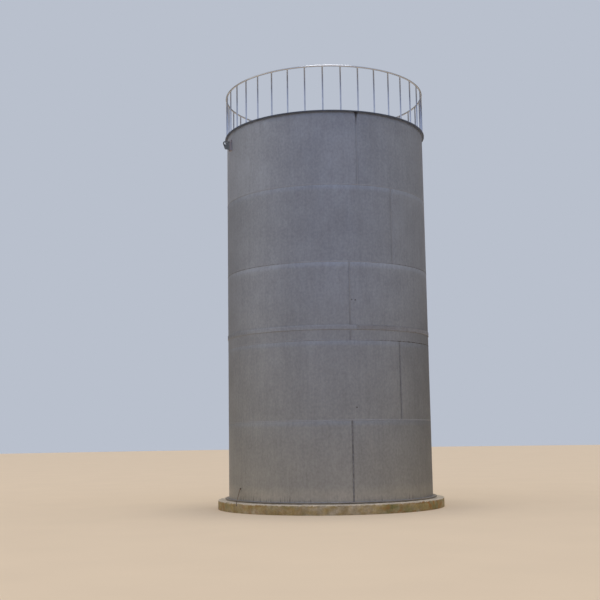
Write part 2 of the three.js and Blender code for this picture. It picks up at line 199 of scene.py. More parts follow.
class TankColours(bpy.types.PropertyGroup):
    """Colours of the finish that a user may change."""

    plate: colour("Plate", "Mill-finish stainless plate", "#a2a7af")
    # Painted highlight: the lighter colour of the plate just under each joint
    brushed_plate: colour("Brushed plate", "Plate brushed clean under a joint", "#a8adb5")
    film: colour("Dust film", "Thin dust on the lower half of the wall", "#a19e8e")
    # Partly painted light: this dust also stands in for light bounced up from the floor onto the wall's
    # foot
    dust: colour("Dust", "Dust splashed up round the foot of the wall", "#cac4b6")
    ledge_dust: colour("Ledge dust", "Dust lying on the floor plate's edge", "#a0937f")
    tint: colour("Heat tint", "Oxide and dirt along a weld", "#4c4744")
    smoke: colour("Weld smoke", "Brown-grey film on the right-hand stiffening bar", "#7e7873")
    oxide: colour("Oxide", "Stainless darkened by torch and weld", "#5c6163")
    torched: colour("Torched plate", "Lug plate greyed by torch and weld", "#919a9e")
    blush: colour("Blush", "Brown-violet tint that the weld's heat left on the lugs' pads", "#b6adb4")
    weld: colour("Weld", "Weld metal", "#a8abb1")
    pipe: colour("Pipe", "Satin stainless pipe", "#b4bccb")
    rail: colour("Rail", "Top rail polished by hands", "#ccd0d6")
    edge_paint: colour("Edge paint", "Dark paint on the edge ring", "#55637f")
    concrete: colour("Concrete", "Stained side of the plinth", "#a9925f")
    moss: colour("Moss", "Olive growth and damp on the plinth", "#7d7a48")
    rust_stain: colour("Rust stain", "Rust run-off on the plinth", "#a07036")
    worn_concrete: colour("Worn concrete", "Paler patches of the plinth's side", "#bcae95")
    worn_edge: colour("Worn edge", "Bare concrete along the plinth's edge", "#cbbda5")
    bitumen: colour("Bitumen", "Bitumen and sand bed", "#4f4a43")
    strap: colour("Strap", "Tarnished earth strap", "#7a6b5a")
    bolt: colour("Bolt", "Zinc-plated bolts", "#8d8f90")
    floor: colour("Floor", "Studio floor", "#e1ccae")


def sizes():
    return bpy.context.scene.tank_sizes


def colours():
    return bpy.context.scene.tank_colours


# Editing helpers
def only(piece):
    if bpy.context.mode != "OBJECT":
        bpy.ops.object.mode_set(mode="OBJECT")
    bpy.ops.object.select_all(action="DESELECT")
    piece.select_set(True)
    bpy.context.view_layer.objects.active = piece


@contextmanager
def editing(piece, domain="FACE"):
    """Edit mode on one piece, with nothing selected."""
    only(piece)
    bpy.ops.object.mode_set(mode="EDIT")
    bpy.ops.mesh.select_mode(type=domain)
    bpy.ops.mesh.select_all(action="DESELECT")
    yield
    bpy.ops.object.mode_set(mode="OBJECT")


def choose(piece, domain, test):
    """Selects the vertices that pass the test, or the faces all of whose corners do."""
    bpy.ops.mesh.select_mode(type=domain)
    bpy.ops.mesh.select_all(action="DESELECT")
    mesh = bmesh.from_edit_mesh(piece.data)
    for item in mesh.verts if domain == "VERT" else mesh.faces:
        corners = [item] if domain == "VERT" else item.verts
        if all(test(corner.co) for corner in corners):
            item.select_set(True)
    bmesh.update_edit_mesh(piece.data)


def face_outwards():
    bpy.ops.mesh.select_all(action="SELECT")
    bpy.ops.mesh.normals_make_consistent(inside=False)


def fill_ends():
    """Closes the open ends of the mesh being edited by flat faces."""
    bpy.ops.mesh.select_all(action="DESELECT")
    bpy.ops.mesh.select_non_manifold()
    bpy.ops.mesh.fill_holes(sides=0)
    face_outwards()


def grouped(piece, name, test):
    """Makes a vertex group of the vertices that pass the test."""
    with editing(piece, "VERT"):
        choose(piece, "VERT", test)
        piece.vertex_groups.new(name=name)
        bpy.ops.object.vertex_group_assign()


def near(value, target):
    return abs(value - target) < 0.05 * MM


def named(name):
    """The primitive just added, with its place moved into its mesh."""
    piece = bpy.context.active_object
    only(piece)
    piece.name = name
    piece.data.name = name
    bpy.ops.object.transform_apply(location=True, rotation=True, scale=True)
    return piece


def modify(piece, kind, **settings):
    only(piece)
    modifier = piece.modifiers.new(kind.lower(), kind)
    for name, value in settings.items():
        setattr(modifier, name, value)
    bpy.ops.object.modifier_apply(modifier=modifier.name)


def soften(piece, width, angle=40, segments=2):
    """Rounds the sharp edges of a piece."""
    modify(piece, "BEVEL", width=width, segments=segments, limit_method="ANGLE",
           angle_limit=radians(angle), harden_normals=False)


def cloud_pattern(name, grain):
    """A cloud pattern whose lumps are grain wide."""
    texture = bpy.data.textures.new(name, "CLOUDS")
    texture.noise_scale = grain
    return texture


def displace(piece, texture, depth, middle, group):
    """Moves the surface along its normals, outwards where the texture is lighter than middle."""
    modify(piece, "DISPLACE", texture=texture, texture_coords="LOCAL", strength=depth,
           mid_level=middle, vertex_group=group)


def roughen(piece, grain, depth, middle=0.5, group=""):
    """Moves the surface in and out by a cloud pattern whose lumps are grain wide."""
    displace(piece, cloud_pattern(piece.name, grain), depth, middle, group)


def copied(piece, name, matrix):
    """A copy of a finished mesh, with a mesh of its own, put in another place."""
    copy = piece.copy()
    copy.data = piece.data.copy()
    copy.name = name
    copy.data.name = name
    copy.data.transform(matrix)
    bpy.context.scene.collection.objects.link(copy)
    return copy


def joined(name, pieces):
    only(pieces[0])
    for piece in pieces:
        piece.select_set(True)
    bpy.ops.object.join()
    piece = bpy.context.active_object
    piece.name = name
    piece.data.name = name
    return piece


def removed(piece):
    bpy.data.objects.remove(piece, do_unlink=True)


def turn(azimuth):
    return Matrix.Rotation(radians(azimuth), 4, "Z")


def on_circle(radius, azimuth, height=0.0):
    angle = radians(azimuth)
    return Vector((radius * sin(angle), -radius * cos(angle), height))


def azimuth_of(point):
    return degrees(atan2(point.x, -point.y))


def finished(piece, material, slot, *nodes, angle=35):
    """Shades a piece, gives it its finish, puts it on the root body, and hides the frame's parts that it
    stands for.
    """
    only(piece)
    bpy.ops.object.shade_smooth_by_angle(angle=radians(angle))
    piece.data.materials.clear()
    piece.data.materials.append(material)
    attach(piece, "root")
    if nodes:
        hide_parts(*nodes)


# Shapes that the pieces start from
def turned(name, profile, centre=(0, 0), closed=True, around=AROUND):
    """A circle extruded from each (radius, height) of the profile to the next."""
    (radius, height), *rest = profile
    bpy.ops.mesh.primitive_circle_add(vertices=around, radius=radius, location=(*centre, height))
    piece = named(name)
    with editing(piece, "EDGE"):
        bpy.ops.mesh.select_all(action="SELECT")
        for next_radius, next_height in rest:
            bpy.ops.mesh.extrude_region_move(
                TRANSFORM_OT_translate={"value": (0, 0, next_height - height)})
            scale = next_radius / radius
            bpy.ops.transform.resize(value=(scale, scale, 1), center_override=(*centre, next_height))
            radius, height = next_radius, next_height
        if closed:
            bpy.ops.mesh.select_all(action="DESELECT")
            bpy.ops.mesh.select_non_manifold()
            bpy.ops.mesh.bridge_edge_loops()
        face_outwards()
    return piece


def capped(name, profile, centre=(0, 0), around=AROUND):
    """A turned shape whose first and last circles are closed by flat faces."""
    piece = turned(name, profile, centre, closed=False, around=around)
    with editing(piece, "EDGE"):
        fill_ends()
    return piece


def keep_side(piece, azimuth, side, fill=True):
    """Cuts a piece along the axis and keeps what lies after (1) or before (-1) an azimuth."""
    angle = radians(azimuth)
    with editing(piece):
        bpy.ops.mesh.select_all(action="SELECT")
        bpy.ops.mesh.bisect(plane_co=(0, 0, 0), plane_no=(side * cos(angle), side * sin(angle), 0),
                            use_fill=fill, clear_inner=True)


# A bead is an ellipse whose middle lies under the plate, so that its edges run out flat: how
# deep its middle is and how thick its half is, in rises, and its width, in widths of the weld
BEAD_SINK = 2
BEAD_HALF = 3
BEAD_SPREAD = 1.34
BEAD_SIDES = 12


def bead_profile(radius, height, rise, half_width):
    """The ellipse of a bead that lies on the outside of a circle."""
    middle, thick, wide = radius - BEAD_SINK * rise, BEAD_HALF * rise, BEAD_SPREAD * half_width
    angles = [2 * pi * step / BEAD_SIDES for step in range(BEAD_SIDES)]
    return [(middle + thick * cos(angle), height + wide * sin(angle)) for angle in angles]


def ring_bead(name, radius, height, rise, half_width, centre=(0, 0), around=FINE_AROUND):
    """A weld bead round a circle, slightly uneven as weld metal is."""
    piece = turned(name, bead_profile(radius, height, rise, half_width), centre, around=around)
    roughen(piece, 30 * MM, 0.4 * rise)
    return piece


def straight_bead(name, start, end, across, rise, step=20 * MM):
    """A weld bead along a line; across is the direction of its width, with its length."""
    along = end - start
    width = across.normalized()
    out = along.normalized().cross(width)
    bpy.ops.mesh.primitive_cylinder_add(vertices=BEAD_SIDES, radius=1, depth=1)
    piece = named(name)
    cuts = ceil(along.length / step)
    with editing(piece, "EDGE"):
        mesh = bmesh.from_edit_mesh(piece.data)
        for edge in mesh.edges:
            edge.select_set(abs(edge.verts[0].co.z - edge.verts[1].co.z) > 0.5)
        bpy.ops.mesh.subdivide(number_cuts=cuts)
    half = BEAD_SPREAD * across.length / 2
    columns = Matrix((width * half, out * BEAD_HALF * rise, along)).transposed().to_4x4()
    piece.data.transform(Matrix.Translation((start + end) / 2 - BEAD_SINK * rise * out) @ columns)
    roughen(piece, 25 * MM, 0.4 * rise)
    return piece


def block(name, size, centre):
    bpy.ops.mesh.primitive_cube_add(size=1, location=centre, scale=size)
    return named(name)


def round_bar(name, start, end, radius, sides=BAR_SIDES, flare=0.0):
    """A straight round bar, whose ends widen into welds where flare is more than nothing."""
    along = end - start
    length = along.length
    lead = 0.4 * radius if flare else 0.0
    bpy.ops.mesh.primitive_cylinder_add(vertices=sides, radius=radius, depth=length - 2 * lead)
    piece = named(name)
    if flare:
        with editing(piece):
            for side in (-1, 1):
                height = side * (length / 2 - lead)
                choose(piece, "FACE", lambda co: near(co.z, height))
                bpy.ops.mesh.extrude_region_move(
                    TRANSFORM_OT_translate={"value": (0, 0, side * lead)})
                bpy.ops.transform.resize(
                    value=(1 + flare, 1 + flare, 1), center_override=(0, 0, side * length / 2))
    rotation = Vector((0, 0, 1)).rotation_difference(along).to_matrix().to_4x4()
    piece.data.transform(Matrix.Translation((start + end) / 2) @ rotation)
    return piece


def bent_bar(name, path, radius, sides=BAR_SIDES):
    """A round bar or pipe that follows a path."""
    curve = bpy.data.curves.new(name, "CURVE")
    curve.dimensions = "3D"
    curve.bevel_depth = radius
    curve.bevel_resolution = sides // 4 - 1
    curve.use_fill_caps = True
    spline = curve.splines.new("POLY")
    spline.points.add(len(path) - 1)
    for point, place in zip(spline.points, path):
        point.co = (*place, 1)
    piece = bpy.data.objects.new(name, curve)
    bpy.context.scene.collection.objects.link(piece)
    only(piece)
    bpy.ops.object.convert(target="MESH")
    return named(name)


def arc(centre, start, end, radius, steps):
    """Points on an arc in the plane of two unit directions: start turns towards end."""
    return [centre + radius * (cos(angle) * start + sin(angle) * end)
            for angle in (pi / 2 * step / steps for step in range(steps + 1))]


def bolt_head(name):
    """A hexagon bolt head on its washer, standing on the ground plane."""
    size = sizes().bolt_size
    washer_radius, washer_thickness = 0.8 * size, 0.15 * size
    head_height, head_middle = 0.45 * size, 0.37 * size
    bpy.ops.mesh.primitive_cylinder_add(
        vertices=18, radius=washer_radius, depth=washer_thickness, location=(0, 0, washer_thickness / 2))
    washer = named(name + "_washer")
    bpy.ops.mesh.primitive_cylinder_add(
        vertices=6, radius=size / 2, depth=head_height, location=(0, 0, head_middle))
    head = named(name + "_head")
    soften(head, 0.05 * size, segments=1)
    return joined(name, [washer, head])


def bolts(name, places):
    """A bolt head at each place, given as a matrix whose +Z is the bolt's axis."""
    pattern = bolt_head(name + "_pattern")
    copies = [copied(pattern, f"{name}_{index}", place) for index, place in enumerate(places)]
    removed(pattern)
    return joined(name, copies)


def circle_of_places(middle, radius, count, first):
    """Places round a middle, the first of them turned by a share of the space between two."""
    return [middle @ turn(360 * (index + first) / count) @ Matrix.Translation((0, -radius, 0))
            for index in range(count)]


def boolean(piece, tool, operation):
    modify(piece, "BOOLEAN", object=tool, operation=operation, solver="EXACT")
    removed(tool)


# Materials
def add_node(tree, kind, inputs=None, **settings):
    """Adds one node with its settings; each input takes a value, another node or its socket."""
    node = tree.nodes.new(kind)
    for name, value in settings.items():
        setattr(node, name, value)
    for name, value in (inputs or {}).items():
        if isinstance(value, bpy.types.Node):
            value = next(socket for socket in value.outputs if socket.enabled)
        if isinstance(value, bpy.types.NodeSocket):
            tree.links.new(value, node.inputs[name])
        else:
            node.inputs[name].default_value = value
    return node


MATERIALS = {}


def made_of(finish):
    """The material of a finish, which gives its surface shader's values and links."""
    if finish.__name__ not in MATERIALS:
        material = bpy.data.materials.new(finish.__name__)
        material.use_nodes = True
        tree = material.node_tree
        tree.nodes.clear()
        place = add_node(tree, "ShaderNodeTexCoord").outputs["Object"]
        shader = add_node(tree, "ShaderNodeBsdfPrincipled", finish(tree, place))
        add_node(tree, "ShaderNodeOutputMaterial", {"Surface": shader})
        MATERIALS[finish.__name__] = material
    return MATERIALS[finish.__name__]


def cloudy(tree, place, width, height, low, high, detail=3.0):
    """Soft patches of a real width and height, whose values run from low to high."""
    scale = (1 / width, 1 / width, 1 / height)
    mapped = add_node(tree, "ShaderNodeMapping", {"Vector": place, "Scale": scale})
    noise = add_node(tree, "ShaderNodeTexNoise", {"Vector": mapped, "Scale": 1.0, "Detail": detail})
    return add_node(tree, "ShaderNodeMapRange", {
        "Value": noise, "From Min": 0.3, "From Max": 0.7, "To Min": low, "To Max": high})


def lumpy(tree, place, width, depth, detail=4.0):
    """A surface of lumps with a real width and depth."""
    lumps = cloudy(tree, place, width, width, 0.0, 1.0, detail)
    return add_node(tree, "ShaderNodeBump", {"Height": lumps, "Distance": depth})


def mottled(tree, place, base, width, height, low, high):
    """A colour made lighter and darker in soft patches of a real width and height."""
    patches = cloudy(tree, place, width, height, low, high)
    return add_node(tree, "ShaderNodeMix", {0: 1.0, 6: base, 7: patches},
                    data_type="RGBA", blend_type="MULTIPLY")


def pickled_tones(tree, place):
    """The light and dark of pickled plate, about 1: clouds, rain streaks and fine mottling."""
    clouds = cloudy(tree, place, 600 * MM, 500 * MM, 0.94, 1.06)
    streaks = cloudy(tree, place, 60 * MM, 1200 * MM, -0.03, 0.03, 4.0)
    # Grains of the mottling are a few millimetres; drawn at 40 to show in the picture
    mottling = cloudy(tree, place, 40 * MM, 50 * MM, -0.085, 0.085, 5.0)
    both = add_node(tree, "ShaderNodeMath", {0: streaks, 1: mottling}, operation="ADD")
    return add_node(tree, "ShaderNodeMath", {0: clouds, 1: both}, operation="ADD")


def toned_plate(tree, place):
    """The plate's colour, as light and dark as pickled plate is."""
    return add_node(tree, "ShaderNodeMix", {0: 1.0, 6: colours().plate, 7: pickled_tones(tree, place)},
                    data_type="RGBA", blend_type="MULTIPLY")


def pickled_stainless_wall(tree, place):
    """Cold-rolled stainless plate, pickled dull grey, with faint streaks from top to bottom. Each
    plate has a painted highlight just under the joint above it and is tinted dark along its seams."""
    palette = colours()
    sheet = add_node(tree, "ShaderNodeUVMap", uv_map="sheet")
    along = add_node(tree, "ShaderNodeSeparateXYZ", {"Vector": sheet}).outputs["X"]
    height = add_node(tree, "ShaderNodeSeparateXYZ", {"Vector": place}).outputs["Z"]
    tone, stain, brushing, below_top = (
        add_node(tree, "ShaderNodeAttribute", attribute_name=name).outputs["Fac"]
        for name in ("tone", "stain", "brushing", "below_top"))

    # Heat tint: the distance to the nearer upright seam, with an uneven edge
    middle = pi * SHELL_RADIUS / 2
    from_middle = add_node(tree, "ShaderNodeMath", {0: along, 1: middle}, operation="SUBTRACT")
    from_middle = add_node(tree, "ShaderNodeMath", {0: from_middle}, operation="ABSOLUTE")
    wander = cloudy(tree, place, 25 * MM, 60 * MM, -3 * MM, 3 * MM)
    wavering = add_node(tree, "ShaderNodeMath", {0: from_middle, 1: wander}, operation="ADD")
    scorched = add_node(tree, "ShaderNodeMath", {0: stain, 1: 0.9}, operation="SUBTRACT", use_clamp=True)
    wavering = add_node(tree, "ShaderNodeMath", {0: scorched, 1: 30 * MM, 2: wavering},
                        operation="MULTIPLY_ADD")
    heat = add_node(tree, "ShaderNodeMapRange", {
        "Value": wavering, "From Min": middle - 24 * MM, "From Max": middle - 10 * MM,
        "To Min": 0.0, "To Max": 0.42}, interpolation_type="SMOOTHSTEP")
    for factor in (stain, cloudy(tree, place, 60 * MM, 90 * MM, 0.4, 1.5)):
        heat = add_node(tree, "ShaderNodeMath", {0: heat, 1: factor}, operation="MULTIPLY")

    # Painted highlight under the joint above, fading down the plate
    brushed = add_node(tree, "ShaderNodeMapRange", {
        "Value": below_top, "From Min": 50 * MM, "From Max": 170 * MM, "To Min": 1.0, "To Max": 0.0})
    brushed = add_node(tree, "ShaderNodeMath", {0: brushed, 1: brushing}, operation="MULTIPLY")

    # Dust splashed up round the foot, made light enough to be painted light as well: it lifts the shade at
    # the foot and stands in for light bounced up from the floor; and a thin warm film of dust up to half
    # the wall's height
    splash, veil, film = (
        add_node(tree, "ShaderNodeMapRange", {
            "Value": height, "From Min": WALL_FOOT, "From Max": WALL_FOOT + reach,
            "To Min": amount, "To Max": 0.0}, interpolation_type=fall)
        for reach, amount, fall in (
            (500 * MM, 0.75, "SMOOTHSTEP"), (1.3, 0.3, "LINEAR"), (4.0, 0.5, "LINEAR")))
    splash = add_node(tree, "ShaderNodeMath", {0: splash, 1: veil}, operation="MAXIMUM")

    # Narrow dark runs, plain to see just above the foot and faint higher up
    runs = add_node(tree, "ShaderNodeClamp", {
        "Value": cloudy(tree, place, 24 * MM, 260 * MM, -2.6, 1.4, 2.0)})
    plain = add_node(tree, "ShaderNodeMapRange", {
        "Value": height, "From Min": WALL_FOOT + 30 * MM, "From Max": WALL_FOOT + 140 * MM,
        "To Min": 0.5, "To Max": 0.05}, interpolation_type="SMOOTHSTEP")
    runs = add_node(tree, "ShaderNodeMath", {0: runs, 1: plain}, operation="MULTIPLY")

    base = palette.plate
    for amount, layer in ((brushed, palette.brushed_plate), (film, palette.film), (splash, palette.dust)):
        base = add_node(tree, "ShaderNodeMix", {0: amount, 6: base, 7: layer}, data_type="RGBA")
    # The tone holds the plates' own tones and also painted light and shade
    toned = add_node(tree, "ShaderNodeMath", {0: pickled_tones(tree, place), 1: tone},
                     operation="MULTIPLY")
    base = add_node(tree, "ShaderNodeVectorMath", {0: base, "Scale": toned}, operation="SCALE")
    dark = add_node(tree, "ShaderNodeMath", {0: heat, 1: runs}, operation="MAXIMUM")
    return {
        "Base Color": add_node(tree, "ShaderNodeMix", {0: dark, 6: base, 7: palette.tint},
                               data_type="RGBA"),
        "Metallic": 0.85,
        "Roughness": cloudy(tree, place, 120 * MM, 700 * MM, 0.56, 0.66),
        "Normal": lumpy(tree, place, 6 * MM, 0.15 * MM),
    }


def pickled_stainless_plate(tree, place):
    """The same plate in small parts and on the roof: dull grey, gently mottled."""
    return {
        "Base Color": toned_plate(tree, place),
        "Metallic": 0.85,
        "Roughness": cloudy(tree, place, 120 * MM, 120 * MM, 0.46, 0.6),
        "Normal": lumpy(tree, place, 6 * MM, 0.15 * MM),
    }


def smoke_dulled_stainless_bar(tree, place):
    """Stainless flat bar left as welded: a brown-grey film of weld smoke takes off its sheen."""
    smoke = cloudy(tree, place, 150 * MM, 30 * MM, 0.15, 0.5, 4.0)
    base = toned_plate(tree, place)
    return {
        "Base Color": add_node(tree, "ShaderNodeMix", {0: smoke, 6: base, 7: colours().smoke},
                               data_type="RGBA"),
        "Metallic": 0.7,
        "Roughness": cloudy(tree, place, 80 * MM, 30 * MM, 0.6, 0.75),
    }


def oxidised_stainless(tree, place):
    """Stainless plate left dull by torch and weld: slate grey, with darker brown-grey patches,
    and tinted by the weld's heat next to the wall."""
    palette = colours()
    patches = cloudy(tree, place, 50 * MM, 70 * MM, 0.0, 0.5, 4.0)
    base = add_node(tree, "ShaderNodeMix", {0: patches, 6: palette.torched, 7: palette.tint},
                    data_type="RGBA")
    sideways = add_node(tree, "ShaderNodeSeparateXYZ", {"Vector": place}).outputs["X"]
    sideways = add_node(tree, "ShaderNodeMath", {0: sideways}, operation="ABSOLUTE")
    heated = add_node(tree, "ShaderNodeMapRange", {
        "Value": sideways, "From Min": LUG_ROOT, "From Max": LUG_ROOT + 50 * MM,
        "To Min": 0.8, "To Max": 0.0})
    return {
        "Base Color": add_node(tree, "ShaderNodeMix", {0: heated, 6: base, 7: palette.blush},
                               data_type="RGBA"),
        "Metallic": 0.6,
        "Roughness": cloudy(tree, place, 40 * MM, 40 * MM, 0.5, 0.68),
        "Normal": lumpy(tree, place, 5 * MM, 0.2 * MM),
    }


def heat_blushed_stainless(tree, place):
    """Stainless plate that the heat of welding tinted brown-violet in soft patches."""
    palette = colours()
    patches = cloudy(tree, place, 60 * MM, 90 * MM, 0.2, 1.0, 4.0)
    return {
        "Base Color": add_node(tree, "ShaderNodeMix", {0: patches, 6: palette.plate, 7: palette.blush},
                               data_type="RGBA"),
        "Metallic": 0.85,
        "Roughness": cloudy(tree, place, 60 * MM, 60 * MM, 0.55, 0.68),
        "Normal": lumpy(tree, place, 6 * MM, 0.15 * MM),
    }


def dusty_stainless_ledge(tree, place):
    """The floor plate's edge outside the wall, dulled by years of dust and splashes."""
    palette = colours()
    dust = cloudy(tree, place, 300 * MM, 20 * MM, 0.5, 1.0, 5.0)
    return {
        "Base Color": add_node(tree, "ShaderNodeMix", {0: dust, 6: palette.oxide, 7: palette.ledge_dust},
                               data_type="RGBA"),
        "Metallic": 0.15,
        "Roughness": 0.8,
        "Normal": lumpy(tree, place, 5 * MM, 0.8 * MM),
    }


def stainless_weld_metal(tree, place):
    """Stainless weld metal with its oxide left on: lumpy, and as dark as its stain says."""
    palette = colours()
    stain = add_node(tree, "ShaderNodeAttribute", attribute_name="stain").outputs["Fac"]
    patches = cloudy(tree, place, 45 * MM, 60 * MM, 0.25, 0.8)
    dark = add_node(tree, "ShaderNodeMath", {0: stain, 1: patches}, operation="MULTIPLY", use_clamp=True)
    return {
        "Base Color": add_node(tree, "ShaderNodeMix", {0: dark, 6: palette.weld, 7: palette.tint},
                               data_type="RGBA"),
        "Metallic": 0.8,
        "Roughness": cloudy(tree, place, 20 * MM, 20 * MM, 0.42, 0.6),
        "Normal": lumpy(tree, place, 5 * MM, 0.6 * MM, 3.0),
    }


def satin_stainless_pipe(tree, place):
    """Drawn stainless pipe, its satin polish gone soft in the weather: brighter than the plate,
    and glossiest on the top rail, where hands polish it."""
    dulled = mottled(tree, place, colours().pipe, 90 * MM, 90 * MM, 0.88, 1.05)
    height = add_node(tree, "ShaderNodeSeparateXYZ", {"Vector": place}).outputs["Z"]
    polished = add_node(tree, "ShaderNodeMapRange", {
        "Value": height, "From Min": RAIL_HEIGHT - 2 * RAIL_RADIUS, "From Max": RAIL_HEIGHT - RAIL_RADIUS})
    return {
        "Base Color": add_node(tree, "ShaderNodeMix", {0: polished, 6: dulled, 7: colours().rail},
                               data_type="RGBA"),
        "Metallic": 1.0,
        "Roughness": add_node(tree, "ShaderNodeMapRange", {
            "Value": polished, "To Min": 0.46, "To Max": 0.12}),
    }


def weathered_dark_paint(tree, place):
    """Old dark alkyd paint on flat bar: blue-black and dull, chalked paler in patches."""
    palette = colours()
    chalk = cloudy(tree, place, 90 * MM, 30 * MM, 0.0, 0.45, 5.0)
    return {
        "Base Color": add_node(tree, "ShaderNodeMix", {0: chalk, 6: palette.edge_paint, 7: palette.oxide},
                               data_type="RGBA"),
        "Metallic": 0.0,
        "Roughness": cloudy(tree, place, 60 * MM, 60 * MM, 0.55, 0.75),
        "Normal": lumpy(tree, place, 4 * MM, 0.2 * MM, 3.0),
    }


def cast_concrete(tree, place):
    """Concrete cast against a form and stained by years of run-off: olive-brown with mossy and
    rusty patches where most of it ran, and bare and pale along the worn upper edge."""
    palette = colours()
    height = add_node(tree, "ShaderNodeSeparateXYZ", {"Vector": place}).outputs["Z"]
    ragged = cloudy(tree, place, 60 * MM, 60 * MM, -14 * MM, 14 * MM, 5.0)
    edge = add_node(tree, "ShaderNodeMath", {0: height, 1: ragged}, operation="ADD")
    bare = add_node(tree, "ShaderNodeMapRange", {
        "Value": edge, "From Min": PLINTH_TOP - 18 * MM, "From Max": PLINTH_TOP - 6 * MM},
        interpolation_type="SMOOTHSTEP")
    run_off = add_node(tree, "ShaderNodeAttribute", attribute_name="run_off").outputs["Fac"]
    spared = add_node(tree, "ShaderNodeMapRange", {
        "Value": run_off, "From Min": 0.0, "From Max": 0.6, "To Min": 0.4, "To Max": 0.0})
    patches = add_node(tree, "ShaderNodeMath", {
        0: cloudy(tree, place, 160 * MM, 90 * MM, -0.3, 0.65, 4.0), 1: spared}, operation="ADD",
        use_clamp=True)
    mossy = add_node(tree, "ShaderNodeClamp", {
        "Value": cloudy(tree, place, 340 * MM, 260 * MM, -0.4, 0.9, 4.0)})
    mossy = add_node(tree, "ShaderNodeMath", {0: mossy, 1: run_off}, operation="MULTIPLY")
    rusty = add_node(tree, "ShaderNodeClamp", {
        "Value": cloudy(tree, place, 130 * MM, 130 * MM, -0.8, 1.1, 4.0)})
    rusty = add_node(tree, "ShaderNodeMath", {0: rusty, 1: run_off}, operation="MULTIPLY")
    base = palette.concrete
    for amount, layer in (
            (patches, palette.worn_concrete), (mossy, palette.moss),
            (rusty, palette.rust_stain), (bare, palette.worn_edge)):
        base = add_node(tree, "ShaderNodeMix", {0: amount, 6: base, 7: layer}, data_type="RGBA")

    shade = cloudy(tree, place, 90 * MM, 260 * MM, 0.82, 1.18, 5.0)
    # Grit is under ten millimetres; drawn at 28 to show in the picture
    grit = cloudy(tree, place, 28 * MM, 28 * MM, 0.86, 1.14, 5.0)
    damp = add_node(tree, "ShaderNodeMapRange", {
        "Value": height, "From Min": 0.0, "From Max": 35 * MM, "To Min": 0.9, "To Max": 1.0},
        interpolation_type="SMOOTHSTEP")
    for factor in (grit, damp):
        shade = add_node(tree, "ShaderNodeMath", {0: shade, 1: factor}, operation="MULTIPLY")
    return {
        "Base Color": add_node(tree, "ShaderNodeVectorMath", {0: base, "Scale": shade},
                               operation="SCALE"),
        "Metallic": 0.0,
        "Roughness": 0.9,
        "Normal": lumpy(tree, place, 10 * MM, 1.2 * MM, 5.0),
    }


def bitumen_and_sand(tree, place):
    """Bitumen mixed with sand under the tank: dark and coarse, with dust lying on it."""
    palette = colours()
    sand = cloudy(tree, place, 200 * MM, 12 * MM, 0.3, 0.9, 6.0)
    return {
        "Base Color": add_node(tree, "ShaderNodeMix", {
            0: sand, 6: palette.bitumen, 7: palette.worn_concrete}, data_type="RGBA"),
        "Metallic": 0.0,
        "Roughness": 0.85,
        "Normal": lumpy(tree, place, 12 * MM, 2 * MM),
    }


def tarnished_flat_bar(tree, place):
    """Flat earthing bar, tarnished dark brown-grey in the weather."""
    return {
        "Base Color": mottled(tree, place, colours().strap, 20 * MM, 40 * MM, 0.8, 1.25),
        "Metallic": 0.5,
        "Roughness": 0.6,
    }


def weathered_zinc_plating(tree, place):
    """Zinc-plated steel bolts gone dull in the weather."""
    return {
        "Base Color": mottled(tree, place, colours().bolt, 8 * MM, 8 * MM, 0.75, 1.1),
        "Metallic": 0.9,
        "Roughness": 0.45,
    }


def matt_floor_paint(tree, place):
    """Matt painted studio floor: pale and even, with the faintest mottling."""
    return {
        "Base Color": mottled(tree, place, colours().floor, 1500 * MM, 1500 * MM, 0.985, 1.015),
        "Metallic": 0.0,
        "Roughness": 0.9,
    }


# Foundation
def plinth():
    """The concrete block, with its upper edge chipped."""
    chamfer = 9 * MM
    shoulder = PLINTH_TOP - chamfer
    rows = 7
    side = [(PLINTH_RADIUS, shoulder * row / rows) for row in range(rows)]
    edge = [
        (PLINTH_RADIUS, shoulder),
        (PLINTH_RADIUS - chamfer / 3, shoulder + chamfer / 2),
        (PLINTH_RADIUS - chamfer, PLINTH_TOP),
        (PLINTH_RADIUS - 2 * chamfer, PLINTH_TOP),
        (BED_RADIUS + 10 * MM, PLINTH_TOP),
        (BED_RADIUS - 50 * MM, PLINTH_TOP),
    ]
    piece = capped("plinth_block", side + edge, around=3 * FINE_AROUND)
    chipped_from = shoulder - 30 * MM
    inner = PLINTH_RADIUS - 40 * MM
    grouped(piece, "edge", lambda co: co.z > chipped_from and co.xy.length > inner)
    chip(piece, 70 * MM, sizes().chip_depth, "edge")
    chip(piece, 22 * MM, 0.35 * sizes().chip_depth, "edge")
    per_vertex(piece, "run_off", run_off)
    finished(piece, made_of(cast_concrete), "concrete", "concrete_plinth", angle=50)


def run_off(place):
    """How stained the plinth is by run-off: least in front, and most round the right."""
    azimuth = azimuth_of(place)
    left = 0.45 * share(azimuth, -10, -28)
    right = 0.9 * share(azimuth, 13, 25) * (1 - 0.6 * share(azimuth, 60, 100))
    return 0.1 + left + right


def chip(piece, grain, depth, group):
    """Breaks pieces off: only the highest lumps of a cloud pattern bite into the surface."""
    texture = cloud_pattern(f"{piece.name}_chips", grain)
    texture.use_color_ramp = True
    first_bite, full_bite = texture.color_ramp.elements
    first_bite.position = 0.5
    first_bite.color = (0, 0, 0, 1)
    full_bite.position = 0.8
    full_bite.color = (1, 1, 1, 1)
    displace(piece, texture, -depth, 0.0, group)


def bed():
    """The bitumen and sand bed, lumpy round its edge."""
    inner = BED_RADIUS - 60 * MM
    profile = [
        (inner, PLINTH_TOP),
        (BED_RADIUS, PLINTH_TOP),
        (BED_RADIUS, PLINTH_TOP + 8 * MM),
        (BED_RADIUS - 2 * MM, BED_TOP - 6 * MM),
        (BED_RADIUS - 6 * MM, BED_TOP),
        (inner, BED_TOP),
    ]
    piece = capped("bed_of_bitumen_and_sand", profile, around=FINE_AROUND)
    grouped(piece, "edge", lambda co: co.xy.length > BED_RADIUS - 10 * MM)
    roughen(piece, 50 * MM, 8 * MM, 0.7, "edge")
    finished(piece, made_of(bitumen_and_sand), "bitumen", "bitumen_bed", angle=60)


